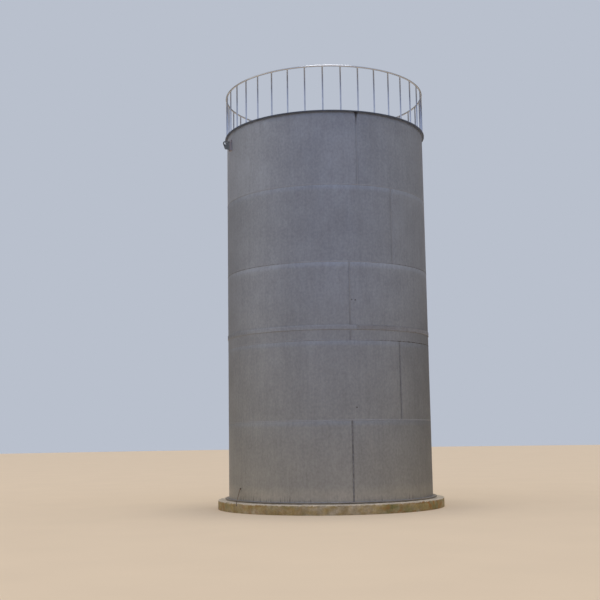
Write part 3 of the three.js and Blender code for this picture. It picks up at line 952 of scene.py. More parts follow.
def mortar_fillet():
    """The fillet of mortar along the bed's foot."""
    inner = BED_RADIUS - 8 * MM
    bottom = PLINTH_TOP - 1 * MM
    slope = [
        (inner, bottom),
        (BED_RADIUS + 44 * MM, bottom),
        (BED_RADIUS + 40 * MM, PLINTH_TOP + 2 * MM),
        (BED_RADIUS + 18 * MM, PLINTH_TOP + 10 * MM),
        (BED_RADIUS + 6 * MM, PLINTH_TOP + 18 * MM),
        (inner, PLINTH_TOP + 19 * MM),
    ]
    fillet = turned("mortar_fillet", slope, around=FINE_AROUND)
    grouped(fillet, "slope", lambda co: co.z > PLINTH_TOP + 1 * MM)
    roughen(fillet, 60 * MM, 7 * MM, 0.6, "slope")
    finished(fillet, made_of(cast_concrete), "concrete", angle=60)


def floor_plate():
    """The tank's floor, which stands out all round under the wall."""
    piece = capped("floor_plate", [(FLOOR_PLATE_RADIUS, BED_TOP), (FLOOR_PLATE_RADIUS, WALL_FOOT)],
                   around=FINE_AROUND)
    soften(piece, 1.5 * MM)
    finished(piece, made_of(dusty_stainless_ledge), "plate_steel", "bottom_plate")


# Wall
def per_vertex(piece, name, value):
    """An attribute whose value follows each vertex's place."""
    vertices = piece.data.vertices
    attribute = piece.data.attributes.new(name, "FLOAT", "POINT")
    attribute.data.foreach_set("value", [value(vertex.co) for vertex in vertices])


def sheet_map(piece, start, bottom):
    """A UV map in metres, along the plate from its first seam and up from its lower edge."""
    mesh = piece.data
    layer = mesh.uv_layers.new(name="sheet")
    for loop in mesh.loops:
        point = mesh.vertices[loop.vertex_index].co
        along = (azimuth_of(point) - start + 1) % 360 - 1
        layer.data[loop.index].uv = (SHELL_RADIUS * radians(along), point.z - bottom)


# From the lowest course up: its plates' tones, on the right and the left of its front seam, how
# dark its seams are at the foot and at the top, how far their welds stand out, how strong the
# painted highlight under its upper edge is, and how dark the weld above it is, with what its left and right
# add
PLATE_TONES = ((0.95, 0.985), (0.975, 0.985), (1.005, 0.99), (1.0, 0.98), (0.99, 1.03))
SEAM_STAINS = ((0.8, 0.8), (0.5, 0.5), (0.4, 0.05), (0.0, 0.0), (0.0, 1.7))
SEAM_RISES = (1.0, 1.0, 1.0, 0.4, 1.0)
TOP_BRUSHING = (0.0, 0.2, 1.0, 0.2, 0.0)
GIRTH_STAINS = (0.25, 0.5, 0.25, 0.3)
GIRTH_SIDE_STAINS = ((0.0, 0.0), (-0.2, 1.0), (0.6, 0.6), (0.0, 0.0))
TOP_SEAM_FADE = 280 * MM
FOOT_WELD_STAIN = 0.8
SCAR_STAIN = 1.6

# A row of vertices this far from a rounded edge keeps the face beyond it flat in its shading
EDGE_LOOP = 10 * MM

# Painted light and shade on the wall, in soft places lighter and darker than the plate: azimuth,
# height, their half widths in degrees and metres, and how much lighter they are
SOFT_PLACES = (
    (-22.5, 3.6, 10, 1.5, -0.05),
    (-62, 4.7, 22, 1.2, 0.045),
    (41, 5.4, 7, 1.1, 0.05),
)

# Azimuth and height of the ground-off stubs
SCARS = ((8.5, 3.978), (10.4, 3.973), (10.1, 1.95))


def seam_stain(course, bottom, top):
    """How dark the upright seams of a course are at a height, from its foot to its top."""
    low, high = SEAM_STAINS[course]
    fade = top - bottom if course < COURSES - 1 else TOP_SEAM_FADE
    return lambda place: low + (high - low) * max(0, 1 - (top - place.z) / fade)


def girth_stain(joint, place):
    """How dark the weld above a course is: other round the sides than in front."""
    azimuth = azimuth_of(place)
    left, right = GIRTH_SIDE_STAINS[joint]
    return GIRTH_STAINS[joint] + left * share(azimuth, -15, -45) + right * share(azimuth, 15, 45)


def band_stain(left, right):
    """How dark a weld of the stiffening bar is, on its two lengths and far round the right; the values
    given for the upper weld hold painted shade as well as stain.
    """
    def stain(place):
        azimuth = azimuth_of(place)
        return left if azimuth < BAND_SPLICE else right + share(azimuth, 40, 60)

    return stain


def plate_tone(course, plate):
    """How light a plate is. The top one has painted light round the left, and painted shade
    darkens the lower ones round the right."""
    tone = PLATE_TONES[course][plate]
    washed = 0.2 if course == COURSES - 1 else 0.0

    def shade(place):
        azimuth = azimuth_of(place)
        # Painted light: the top course lighter round the left
        pale = washed * share(azimuth, -35, -80) * share(azimuth, -165, -115)
        # Painted shade: the lower courses darker round the right, most below 3.2 metres
        grime = 0.3 * share(azimuth, 30, 72) * share(azimuth, 150, 100) * share(place.z, 4.6, 3.2)
        # Painted light and shade of the soft places
        soft = sum(
            amount * swell((azimuth - middle) / spread) * swell((place.z - level) / reach)
            for middle, level, spread, reach, amount in SOFT_PLACES)
        return tone * (1 + pale + soft - grime)

    return shade


def swell(offset):
    """How near the middle of a soft place: 1 there, 0 from one half width away."""
    return max(0.0, 1 - offset * offset)


def share(value, start, end):
    """How far a value is on its way from start to end, from 0 to 1."""
    return max(0.0, min(1.0, (value - start) / (end - start)))


def wall_plates():
    """Each course is one tube, pressed slightly out of true and cut into two plates."""
    for course in range(COURSES):
        nodes = [f"wall_course_{course + 1}_plate_{plate}" for plate in (1, 2)]
        bottom, top = lowest(nodes[0]).z, highest(nodes[0]).z
        rows = 12
        heights = [bottom + (top - bottom) * row / rows for row in range(rows + 1)]
        heights.insert(1, bottom + EDGE_LOOP)
        profile = [(SHELL_RADIUS, height) for height in heights]
        tube = turned(f"course_{course + 1}", profile, closed=False)
        roughen(tube, 900 * MM, sizes().plate_waviness, 1.0)
        for plate, node in enumerate(nodes):
            start = SEAM_AZIMUTHS[course] + 180 * plate
            piece = copied(tube, f"shell_plate_{course + 1}_{plate + 1}", Matrix.Identity(4))
            keep_side(piece, start, 1, fill=False)
            modify(piece, "SOLIDIFY", thickness=sizes().plate_thickness, offset=-1)
            soften(piece, 1.5 * MM, angle=60)
            sheet_map(piece, start, bottom)
            per_vertex(piece, "tone", plate_tone(course, plate))
            per_vertex(piece, "stain", seam_stain(course, bottom, top))
            per_vertex(piece, "brushing", lambda place: TOP_BRUSHING[course])
            per_vertex(piece, "below_top", lambda place: top - place.z)
            finished(piece, made_of(pickled_stainless_wall), "plate_steel", node)
        removed(tube)


def wall_welds():
    """Butt welds round each joint and up each seam, and the fillet round the foot."""
    rise, half_width = sizes().weld_rise, sizes().weld_width / 2
    leg = sizes().fillet_leg
    metal = made_of(stainless_weld_metal)
    for joint in range(1, COURSES):
        height = lowest(f"wall_course_{joint + 1}_plate_1").z
        bead = ring_bead(f"girth_weld_{joint}", SHELL_RADIUS, height, rise, half_width)
        per_vertex(bead, "stain", lambda place: girth_stain(joint - 1, place))
        finished(bead, metal, "plate_steel")
    foot = ring_bead("foot_weld", SHELL_RADIUS, WALL_FOOT, leg, leg)
    per_vertex(foot, "stain", lambda place: FOOT_WELD_STAIN)
    finished(foot, metal, "plate_steel")
    for course, seam in enumerate(SEAM_AZIMUTHS):
        node = f"wall_course_{course + 1}_plate_1"
        bottom, top = lowest(node).z, highest(node).z
        low = on_circle(SHELL_RADIUS, 0, bottom + half_width)
        high = on_circle(SHELL_RADIUS, 0, top - half_width)
        across = Vector((2 * half_width, 0, 0))
        pattern = straight_bead(f"seam_{course + 1}", low, high, across, SEAM_RISES[course] * rise)
        for end in (0, 1):
            bead = copied(pattern, f"seam_weld_{course + 1}_{end + 1}", turn(seam + 180 * end))
            per_vertex(bead, "stain", seam_stain(course, bottom, top))
            finished(bead, metal, "plate_steel")
        removed(pattern)


def weld_scars():
    """Ground-off stubs of the brackets that held the plates while they were welded."""
    half_width, rise, half_height = 13 * MM, 1.2 * MM, 16 * MM
    bpy.ops.mesh.primitive_uv_sphere_add(segments=16, ring_count=8, radius=1)
    pattern = named("scar")
    pattern.data.transform(Matrix.Diagonal((half_width, rise, half_height, 1)))
    roughen(pattern, 10 * MM, 1 * MM)
    copies = []
    for azimuth, height in SCARS:
        place = Matrix.Translation(on_circle(SHELL_RADIUS - 1 * MM, azimuth, height)) @ turn(azimuth)
        copies.append(copied(pattern, "scar_copy", place))
    removed(pattern)
    scars = joined("weld_scars", copies)
    per_vertex(scars, "stain", lambda place: SCAR_STAIN)
    finished(scars, made_of(stainless_weld_metal), "plate_steel")


def band():
    """The flat bar round the third course, in two lengths, welded along both edges."""
    metal = made_of(stainless_weld_metal)
    back = SHELL_RADIUS - 2 * MM
    profile = [
        (back, BAND_LOW),
        (BAND_RADIUS, BAND_LOW),
        (BAND_RADIUS, BAND_LOW + EDGE_LOOP),
        (BAND_RADIUS, BAND_HIGH - EDGE_LOOP),
        (BAND_RADIUS, BAND_HIGH),
        (back, BAND_HIGH),
    ]
    whole = turned("bar", profile)
    for side, node in ((-1, "band_left"), (1, "band_right")):
        piece = copied(whole, node.replace("band", "stiffening_bar"), Matrix.Identity(4))
        keep_side(piece, BAND_SPLICE, side)
        soften(piece, 1.5 * MM)
        finish = smoke_dulled_stainless_bar if side > 0 else pickled_stainless_plate
        finished(piece, made_of(finish), "plate_steel", node)
    removed(whole)
    leg = 0.6 * (BAND_RADIUS - SHELL_RADIUS)
    # The upper weld is darker than the lower: weld stain, and painted shade that takes away the light its
    # top catches
    for name, height, stain in (
            ("lower", BAND_LOW, band_stain(0.4, 0.6)), ("upper", BAND_HIGH, band_stain(0.7, 1.2))):
        bead = ring_bead(f"band_weld_{name}", SHELL_RADIUS, height, leg, leg)
        per_vertex(bead, "stain", stain)
        finished(bead, metal, "plate_steel")
    surface = BAND_RADIUS - 1 * MM
    low, high = on_circle(surface, 0, BAND_LOW), on_circle(surface, 0, BAND_HIGH)
    for end in (0, 1):
        bead = straight_bead("splice", low, high, Vector((10 * MM, 0, 0)), 2.5 * MM, 10 * MM)
        bead.data.transform(turn(BAND_SPLICE + 180 * end))
        bead.name = f"band_splice_weld_{end + 1}"
        finished(bead, metal, "plate_steel")


def edge_ring():
    """The flat ring on top of the wall, painted dark, in two lengths welded on from below."""
    inner = SHELL_RADIUS - 40 * MM
    profile = [(inner, WALL_TOP), (EDGE_RADIUS, WALL_TOP), (EDGE_RADIUS, EDGE_TOP), (inner, EDGE_TOP)]
    whole = turned("ring", profile, around=FINE_AROUND)
    for side, node in ((-1, "edge_ring_front"), (1, "edge_ring_rear")):
        piece = copied(whole, node.replace("edge_ring", "edge_bar"), Matrix.Identity(4))
        keep_side(piece, 90, side)
        soften(piece, 1.5 * MM)
        finished(piece, made_of(weathered_dark_paint), "edge_paint", node)
    removed(whole)
    leg = 0.6 * sizes().fillet_leg
    weld = ring_bead("edge_weld", SHELL_RADIUS, WALL_TOP, leg, leg)
    finished(weld, made_of(weathered_dark_paint), "edge_paint")


# Roof
def roof_height(radius):
    return ROOF_EDGE + ROOF_RISE / ROOF_RADIUS * (ROOF_RADIUS - radius)


def roof_plates():
    """Six sectors of a low cone, a crown plate over the middle, and the welds between them."""
    thickness, leg = sizes().plate_thickness, sizes().fillet_leg
    rings = (ROOF_EYE, 0.5, 0.9, 1.3, 1.7, ROOF_RADIUS)
    cone = turned("cone", [(radius, roof_height(radius)) for radius in rings], closed=False)
    roughen(cone, 700 * MM, 3 * MM, 1.0)
    with editing(cone):
        face_outwards()
    modify(cone, "SOLIDIFY", thickness=thickness, offset=-1)
    span = 360 / ROOF_PLATES
    metal = made_of(stainless_weld_metal)
    start = on_circle(CROWN_RADIUS, 0, roof_height(CROWN_RADIUS))
    end = on_circle(ROOF_RADIUS, 0, roof_height(ROOF_RADIUS))
    seam = straight_bead("roof_seam", start, end, Vector((sizes().weld_width, 0, 0)), sizes().weld_rise)
    for plate in range(ROOF_PLATES):
        piece = copied(cone, f"roof_sheet_{plate + 1}", Matrix.Identity(4))
        keep_side(piece, span * plate, 1)
        keep_side(piece, span * (plate + 1), -1)
        if span * plate < MANHOLE_AZIMUTH < span * (plate + 1):
            bore = on_circle(MANHOLE_DISTANCE, MANHOLE_AZIMUTH, MANHOLE_TOP)
            bpy.ops.mesh.primitive_cylinder_add(
                vertices=64, radius=MANHOLE_RADIUS - MANHOLE_WALL, depth=1, location=bore)
            boolean(piece, named("bore"), "DIFFERENCE")
        finished(piece, made_of(pickled_stainless_plate), "plate_steel", f"roof_plate_{plate + 1}")
        bead = copied(seam, f"roof_seam_weld_{plate + 1}", turn(span * plate))
        finished(bead, metal, "plate_steel")
    removed(cone)
    removed(seam)
    crown_low = roof_height(CROWN_RADIUS)
    crown_edge = crown_low + 6 * MM
    crown_middle = highest("roof_crown").z
    crown = capped("crown_sheet", [
        (CROWN_RADIUS, crown_low),
        (CROWN_RADIUS, crown_edge),
        (CROWN_RADIUS / 2, (crown_edge + crown_middle) / 2),
        (10 * MM, crown_middle - 1 * MM),
    ])
    soften(crown, 1.5 * MM, angle=60)
    finished(crown, made_of(pickled_stainless_plate), "plate_steel", "roof_crown")
    crown_weld = ring_bead("crown_weld", CROWN_RADIUS, crown_low, leg, leg, around=AROUND)
    finished(crown_weld, metal, "plate_steel")
    finished(ring_bead("roof_edge_weld", ROOF_RADIUS, EDGE_TOP, leg, leg), metal, "plate_steel")


def manhole():
    """A short neck with a flange, and a bolted lid with a lifting handle."""
    centre = on_circle(MANHOLE_DISTANCE, MANHOLE_AZIMUTH)
    middle = (centre.x, centre.y)
    inner = MANHOLE_RADIUS - MANHOLE_WALL
    low = roof_height(MANHOLE_DISTANCE + MANHOLE_RADIUS) - 20 * MM
    flange_low, flange_top = MANHOLE_TOP - 10 * MM, MANHOLE_TOP - 0.5 * MM
    neck = turned("manhole_neck_and_flange", [
        (inner, low),
        (MANHOLE_RADIUS, low),
        (MANHOLE_RADIUS, flange_low),
        (LID_RADIUS, flange_low),
        (LID_RADIUS, flange_top),
        (inner, flange_top),
    ], middle, around=96)
    soften(neck, 1 * MM)
    finished(neck, made_of(pickled_stainless_plate), "plate_steel", "manhole_neck")
    lid_top = MANHOLE_TOP + LID_THICKNESS
    lid = capped("manhole_lid_plate", [(LID_RADIUS, MANHOLE_TOP), (LID_RADIUS, lid_top)], middle, around=96)
    soften(lid, 1 * MM)
    half_span, bar, rise, bend = 70 * MM, 6 * MM, 45 * MM, 15 * MM
    side, up = Vector((1, 0, 0)), Vector((0, 0, 1))
    top = centre + up * (lid_top + rise - bar)
    path = [centre - side * half_span + up * lid_top]
    path += arc(top - side * (half_span - bend) - up * bend, -side, up, bend, 5)
    path += reversed(arc(top + side * (half_span - bend) - up * bend, side, up, bend, 5))
    path += [centre + side * half_span + up * lid_top]
    handle = bent_bar("lid_handle", path, bar)
    finished(joined("manhole_lid", [lid, handle]), made_of(pickled_stainless_plate), "plate_steel",
             "manhole_cover")
    bolt_circle = (MANHOLE_RADIUS + LID_RADIUS) / 2 + 2 * MM
    places = circle_of_places(Matrix.Translation(centre + up * lid_top), bolt_circle, 16, 0)
    finished(bolts("manhole_bolts", places), made_of(weathered_zinc_plating), "plate_steel")


def vent():
    """A gooseneck on a bolted flange, its mouth closed by a mesh."""
    foot = Vector((0, -VENT_DISTANCE, roof_height(VENT_DISTANCE)))
    centre = (foot.x, foot.y)
    side, out, up = Vector((1, 0, 0)), Vector((0, -1, 0)), Vector((0, 0, 1))
    crown = foot + up * VENT_RISER + out * VENT_BEND
    path = [foot - up * 20 * MM, foot + up * VENT_RISER / 2]
    path += arc(crown, -out, up, VENT_BEND, 8)
    path += arc(crown, up, out, VENT_BEND, 8)[1:]
    mouth = crown + out * VENT_BEND - up * VENT_DROP
    path += [mouth]
    neck = bent_bar("vent_neck", path, VENT_RADIUS, 32)
    with editing(neck):
        choose(neck, "FACE", lambda co: near(co.z, mouth.z) and co.y < foot.y - VENT_BEND)
        bpy.ops.mesh.inset(thickness=4 * MM)
        bpy.ops.mesh.extrude_region_move(TRANSFORM_OT_translate={"value": (0, 0, VENT_DROP)})
    flange_low, flange_top = foot.z - VENT_FLANGE_THICKNESS, foot.z + VENT_FLANGE_THICKNESS
    flange = capped("vent_flange", [
        (VENT_FLANGE_RADIUS, flange_low), (VENT_FLANGE_RADIUS, flange_top)], centre, around=64)
    soften(flange, 1 * MM)
    leg = 7 * MM
    weld = ring_bead("vent_weld", VENT_RADIUS, flange_top, leg, leg, centre, around=64)
    piece = joined("vent_gooseneck", [neck, flange, weld])
    piece.data.transform(turn(VENT_AZIMUTH))
    finished(piece, made_of(pickled_stainless_plate), "plate_steel", "roof_vent")

    pitch, wire_radius, depth_in_mouth = 12 * MM, 1 * MM, 8 * MM
    wires = []
    count = int(VENT_RADIUS / pitch)
    for index in range(-count, count + 1):
        offset = index * pitch
        half = (VENT_RADIUS ** 2 - offset ** 2) ** 0.5 - 2 * MM
        for across, run in ((side, out), (out, side)):
            middle = mouth + up * depth_in_mouth + across * offset
            wires.append(round_bar("wire", middle - run * half, middle + run * half, wire_radius, 6))
    screen = joined("vent_screen", wires)
    screen.data.transform(turn(VENT_AZIMUTH))
    finished(screen, made_of(weathered_zinc_plating), "plate_steel")
    bolt_circle = 84 * MM
    middle = turn(VENT_AZIMUTH) @ Matrix.Translation((*centre, flange_top))
    places = circle_of_places(middle, bolt_circle, 8, 0.5)
    finished(bolts("vent_bolts", places), made_of(weathered_zinc_plating), "plate_steel")


# Guardrail
def post_azimuth(index):
    return 180 + (360 - (POST_COUNT - 1) * POST_SPACING) / 2 + index * POST_SPACING


def degrees_along_rail(length):
    return degrees(length / RAIL_CIRCLE)


def rail_arc(name, start, end, steps):
    """A pipe bent to the roof's circle, from one azimuth to another."""
    bpy.ops.mesh.primitive_circle_add(
        vertices=PIPE_SIDES, radius=RAIL_RADIUS, location=(0, -RAIL_CIRCLE, RAIL_HEIGHT),
        rotation=(0, radians(90), 0))
    piece = named(name)
    with editing(piece, "EDGE"):
        bpy.ops.mesh.select_all(action="SELECT")
        bpy.ops.mesh.spin(steps=steps, angle=-radians(end - start), center=(0, 0, 0), axis=(0, 0, 1))
        fill_ends()
    piece.data.transform(turn(start))
    return piece


def pipe_joint(name, place):
    """A collar round the joint of two upright pipes."""
    half = Vector((0, 0, 6 * MM))
    return round_bar(name, place - half, place + half, RAIL_RADIUS + COLLAR_RISE, PIPE_SIDES)


def guardrail():
    """Six lengths of top rail, each with its six posts welded under it."""
    radius = sizes().post_diameter / 2
    foot = on_circle(RAIL_CIRCLE, 0, EDGE_TOP)
    head = on_circle(RAIL_CIRCLE, 0, RAIL_HEIGHT - RAIL_RADIUS + 4 * MM)
    post = round_bar("post", foot, head, radius, flare=0.35)
    per_section = POST_COUNT // RAIL_SECTIONS
    gap = degrees_along_rail(0.3 * MM)
    overhang = degrees_along_rail(RAIL_OVERHANG)
    half_collar = degrees_along_rail(5 * MM)
    for section in range(RAIL_SECTIONS):
        first = section * per_section
        last = first + per_section - 1
        start = post_azimuth(first) - (POST_SPACING / 2 if section else overhang)
        end = post_azimuth(last) + (POST_SPACING / 2 - gap if section < RAIL_SECTIONS - 1 else overhang)
        parts = [rail_arc("rail", start, end, 6 * per_section)]
        parts += [copied(post, "post_copy", turn(post_azimuth(index))) for index in range(first, last + 1)]
        if section:
            collar = rail_arc("collar", start - half_collar, start + half_collar, 4)
            with editing(collar):
                bpy.ops.mesh.select_all(action="SELECT")
                bpy.ops.transform.shrink_fatten(value=COLLAR_RISE)
            parts.append(collar)
        piece = joined(f"rail_section_{section + 1}", parts)
        finished(piece, made_of(satin_stainless_pipe), "pipe_steel", f"guardrail_{section + 1}", angle=50)
    removed(post)


# Ladder
RUNG_PITCH = (EDGE_TOP - PLINTH_TOP) / RUNG_COUNT
LADDER_SPLIT = PLINTH_TOP + (LOWER_RUNGS + 0.5) * RUNG_PITCH
STRINGER_TOP = EDGE_TOP + RUNG_PITCH / 2


def ladder():
    """Two lengths of ladder; rungs welded between round stringers."""
    along = Vector((LADDER_HALF_WIDTH, 0, 0))
    middle = Vector((0, LADDER_DISTANCE, 0))
    up = Vector((0, 0, 1))
    rung_radius = sizes().rung_diameter / 2
    rung = round_bar("rung", middle - along, middle + along, rung_radius)
    bead = round_bar("rung_bead", middle + along * 0.88, middle + along * 0.93, rung_radius + 2.5 * MM)
    mirror_bead = copied(bead, "rung_bead_left", Matrix.Rotation(pi, 4, "Y"))
    rung = joined("rung", [rung, bead, mirror_bead])
    lengths = (
        ("lower", PLINTH_TOP, LADDER_SPLIT, 1, LOWER_RUNGS),
        ("upper", LADDER_SPLIT, STRINGER_TOP, LOWER_RUNGS + 1, RUNG_COUNT),
    )
    for name, low, high, first, last in lengths:
        parts = []
        for side in (-1, 1):
            place = middle + side * along
            start, end = place + up * low, place + up * high
            parts.append(round_bar("stringer", start, end, RAIL_RADIUS, PIPE_SIDES))
            if name == "lower":
                foot = block("foot", (LADDER_FOOT_WIDTH, LADDER_FOOT_WIDTH, LADDER_FOOT_THICKNESS),
                             start + Vector((0, -LADDER_FOOT_SHIFT, LADDER_FOOT_THICKNESS / 2)))
                soften(foot, 1 * MM)
                parts.append(foot)
            else:
                parts.append(pipe_joint("joint", start))
        for index in range(first, last + 1):
            lift = Matrix.Translation(up * (PLINTH_TOP + index * RUNG_PITCH))
            parts.append(copied(rung, "rung_copy", lift))
        piece = joined(f"ladder_{name}_length", parts)
        finished(piece, made_of(satin_stainless_pipe), "pipe_steel", f"ladder_{name}", angle=50)
    removed(rung)
    anchor_y, anchor_z = LADDER_DISTANCE - LADDER_FOOT_SHIFT, PLINTH_TOP + LADDER_FOOT_THICKNESS
    places = [Matrix.Translation((side * (LADDER_HALF_WIDTH + shift), anchor_y, anchor_z))
              for side in (-1, 1) for shift in (-22 * MM, 22 * MM)]
    finished(bolts("ladder_anchor_bolts", [place @ Matrix.Scale(0.6, 4) for place in places]),
             made_of(weathered_zinc_plating), "pipe_steel")


def handrails():
    """The stringers go on above the roof and bend over to the ends of the guardrail."""
    for side, name, post in ((-1, "left", 0), (1, "right", POST_COUNT - 1)):
        end_azimuth = post_azimuth(post) + side * degrees_along_rail(RAIL_OVERHANG)
        end = on_circle(RAIL_CIRCLE, end_azimuth, RAIL_HEIGHT)
        start = Vector((side * LADDER_HALF_WIDTH, LADDER_DISTANCE, STRINGER_TOP))
        corner = Vector((start.x, start.y, RAIL_HEIGHT))
        level = (end - corner).normalized()
        bend_start = corner - Vector((0, 0, HANDRAIL_BEND))
        bend_end = corner + level * HANDRAIL_BEND
        steps = 10
        path = [start]
        for step in range(steps + 1):
            t = step / steps
            path.append((1 - t) ** 2 * bend_start + 2 * t * (1 - t) * corner + t ** 2 * bend_end)
        path.append(end)
        pipe = bent_bar("handrail_pipe", path, RAIL_RADIUS, PIPE_SIDES)
        piece = joined(f"handrail_bend_{name}", [pipe, pipe_joint("handrail_joint", start)])
        finished(piece, made_of(satin_stainless_pipe), "pipe_steel", f"ladder_handrail_{name}", angle=50)


def brackets():
    """Wall pads with an arm to each stringer, a tie between the arms, and a bolted clamp."""
    bar, bar_height = 8 * MM, 50 * MM
    pad_thickness, pad_azimuth = 8 * MM, 5.625
    clamp_inner, clamp_outer, half_clamp = RAIL_RADIUS + 0.5 * MM, RAIL_RADIUS + 4 * MM, 15 * MM
    wall = (SHELL_RADIUS ** 2 - LADDER_HALF_WIDTH ** 2) ** 0.5
    arm_end = LADDER_DISTANCE - RAIL_RADIUS + 4 * MM
    parts = []
    for side in (-1, 1):
        x = side * LADDER_HALF_WIDTH
        arm = block("arm", (bar, arm_end - wall, bar_height), (x, (arm_end + wall) / 2, 0))
        soften(arm, 1 * MM)
        pad = block("pad", (70 * MM, pad_thickness, 90 * MM), (0, -SHELL_RADIUS - pad_thickness / 2, 0))
        soften(pad, 1 * MM)
        pad.data.transform(turn(180 - side * pad_azimuth))
        clamp = turned("clamp", [
            (clamp_inner, -half_clamp), (clamp_outer, -half_clamp),
            (clamp_outer, half_clamp), (clamp_inner, half_clamp),
        ], (x, LADDER_DISTANCE), around=24)
        parts += [arm, pad, clamp]
    tie = block("tie", (2 * LADDER_HALF_WIDTH, bar, bar_height), (0, SHELL_RADIUS + 50 * MM, 0))
    soften(tie, 1 * MM)
    pattern = joined("bracket", [*parts, tie])
    face = LADDER_HALF_WIDTH + bar / 2
    bolt_distance = LADDER_DISTANCE - 34 * MM
    bolt_places = [
        Matrix.Translation((side * face, bolt_distance, height)) @ Matrix.Rotation(side * pi / 2, 4, "Y")
        for side in (-1, 1) for height in (-12 * MM, 12 * MM)]
    bolt_pattern = bolts("bracket_bolt_pattern", [place @ Matrix.Scale(0.7, 4) for place in bolt_places])
    for index, height in enumerate(BRACKET_HEIGHTS):
        lift = Matrix.Translation((0, 0, height))
        piece = copied(pattern, f"wall_bracket_{index + 1}", lift)
        finished(piece, made_of(pickled_stainless_plate), "plate_steel", f"ladder_bracket_{index + 1}")
        heads = copied(bolt_pattern, f"wall_bracket_bolts_{index + 1}", lift)
        finished(heads, made_of(weathered_zinc_plating), "plate_steel")
    removed(pattern)
    removed(bolt_pattern)


# Lugs
def lugs():
    """A plate with an eye, edge on to the wall, welded to a pad."""
    thickness = 12 * MM
    low = LUG_EYE_HEIGHT - LUG_FOOT_DROP
    tip = -SHELL_RADIUS - LUG_EYE_OUT
    deep = LUG_EYE_OUT + 4 * MM
    neck_high = LUG_EYE_HEIGHT + LUG_HEAD_RADIUS
    lean_out = tip - LUG_HEAD_RADIUS * cos(LUG_HEAD_START)
    lean_high = LUG_EYE_HEIGHT + LUG_HEAD_RADIUS * sin(LUG_HEAD_START)
    body = block("lug_body", (thickness, deep, lean_high - low), (0, tip + deep / 2, (lean_high + low) / 2))
    with editing(body, "VERT"):
        choose(body, "VERT", lambda co: near(co.y, tip) and near(co.z, lean_high))
        bpy.ops.transform.translate(value=(0, lean_out - tip, 0))
        choose(body, "VERT", lambda co: near(co.y, tip) and near(co.z, low))
        bpy.ops.transform.translate(value=(0, LUG_EYE_OUT - LUG_FOOT_OUT, 0))
    neck_low = lean_high - 10 * MM
    neck = block("lug_neck", (thickness, deep, neck_high - neck_low),
                 (0, tip + deep / 2, (neck_high + neck_low) / 2))
    boolean(body, neck, "UNION")
    for name, sides, radius, depth, operation in (
            ("lug_head", 64, LUG_HEAD_RADIUS, thickness, "UNION"),
            ("lug_eye", 48, LUG_EYE_RADIUS, 2 * thickness, "DIFFERENCE")):
        bpy.ops.mesh.primitive_cylinder_add(
            vertices=sides, radius=radius, depth=depth, location=(0, tip, LUG_EYE_HEIGHT),
            rotation=(0, radians(90), 0))
        boolean(body, named(name), operation)
    soften(body, 1.2 * MM, angle=50)
    half_pad, pad_thickness, pad_margin = 60 * MM, 9 * MM, 22 * MM
    pad_middle = -SHELL_RADIUS - 4 * MM
    pad_low, pad_high = low - pad_margin, neck_high + pad_margin
    pad = block("lug_pad", (2 * half_pad, pad_thickness, pad_high - pad_low),
                (0, pad_middle, (pad_low + pad_high) / 2))
    soften(pad, 1.5 * MM)
    leg = sizes().fillet_leg
    level, upright = Vector((1.6 * leg, 0, 0)), Vector((0, 0, 1.6 * leg))
    wall, surface = -SHELL_RADIUS, pad_middle - pad_thickness / 2
    eye_runs = [((x, surface, low), (x, surface, neck_high), level)
                for x in (-thickness / 2, thickness / 2)]
    pad_runs = [((x, wall, pad_low), (x, wall, pad_high), level) for x in (-half_pad, half_pad)]
    pad_runs += [((-half_pad, wall, z), (half_pad, wall, z), upright) for z in (pad_low, pad_high)]
    groups = (("eye", body, eye_runs, oxidised_stainless),
              ("eye_pad", pad, pad_runs, heat_blushed_stainless))
    for name, plate, runs, finish in groups:
        beads = [straight_bead("lug_weld", Vector(start), Vector(end), across, 0.8 * leg, 12 * MM)
                 for start, end, across in runs]
        pattern = joined("lug", [plate, *beads])
        for index, azimuth in enumerate(LUG_AZIMUTHS):
            piece = copied(pattern, f"lifting_{name}_{index + 1}", turn(azimuth))
            finished(piece, made_of(finish), "plate_steel", f"lifting_lug_{index + 1}")
        removed(pattern)


def earth_strap():
    """A flat bar bolted to a boss on the wall and led down over the plinth's edge."""
    width, thickness, end_length = 25 * MM, 4 * MM, 16 * MM
    drop_middle = PLINTH_RADIUS + thickness / 2 + 0.3 * MM
    drop_top, drop_low = PLINTH_TOP + thickness, PLINTH_TOP - 48 * MM
    bar = block("earth_bar", (width, thickness, drop_top - drop_low),
                (0, -drop_middle, (drop_top + drop_low) / 2))
    bar.data.transform(turn(STRAP_FOOT_AZIMUTH))
    foot = on_circle(drop_middle, STRAP_FOOT_AZIMUTH, drop_top)
    head_middle = SHELL_RADIUS + 13 * MM
    head = on_circle(head_middle, STRAP_BOSS_AZIMUTH, STRAP_TOP)
    with editing(bar):
        choose(bar, "FACE", lambda co: near(co.z, drop_top))
        bpy.ops.mesh.extrude_region_move(TRANSFORM_OT_translate={"value": head - foot})
        bpy.ops.mesh.extrude_region_move(TRANSFORM_OT_translate={"value": (0, 0, end_length)})
    soften(bar, 0.6 * MM, angle=25)
    boss_width, boss_depth = 32 * MM, 13 * MM
    boss = block("earth_boss", (boss_width, boss_depth, boss_width), (0, -SHELL_RADIUS - 5 * MM, STRAP_TOP))
    soften(boss, 1.5 * MM)
    boss.data.transform(turn(STRAP_BOSS_AZIMUTH))
    finished(joined("earth_bar", [bar, boss]), made_of(tarnished_flat_bar), "strap_metal", "earth_strap")
    out = Matrix.Rotation(pi / 2, 4, "X")
    places = [
        turn(azimuth) @ Matrix.Translation((0, -middle - thickness / 2, height)) @ out
        @ Matrix.Scale(scale, 4)
        for azimuth, middle, height, scale in (
            (STRAP_BOSS_AZIMUTH, head_middle, STRAP_TOP + 6 * MM, 0.75),
            (STRAP_FOOT_AZIMUTH, drop_middle, PLINTH_TOP - 26 * MM, 0.55))]
    finished(bolts("earth_bar_bolts", places), made_of(weathered_zinc_plating), "strap_metal")


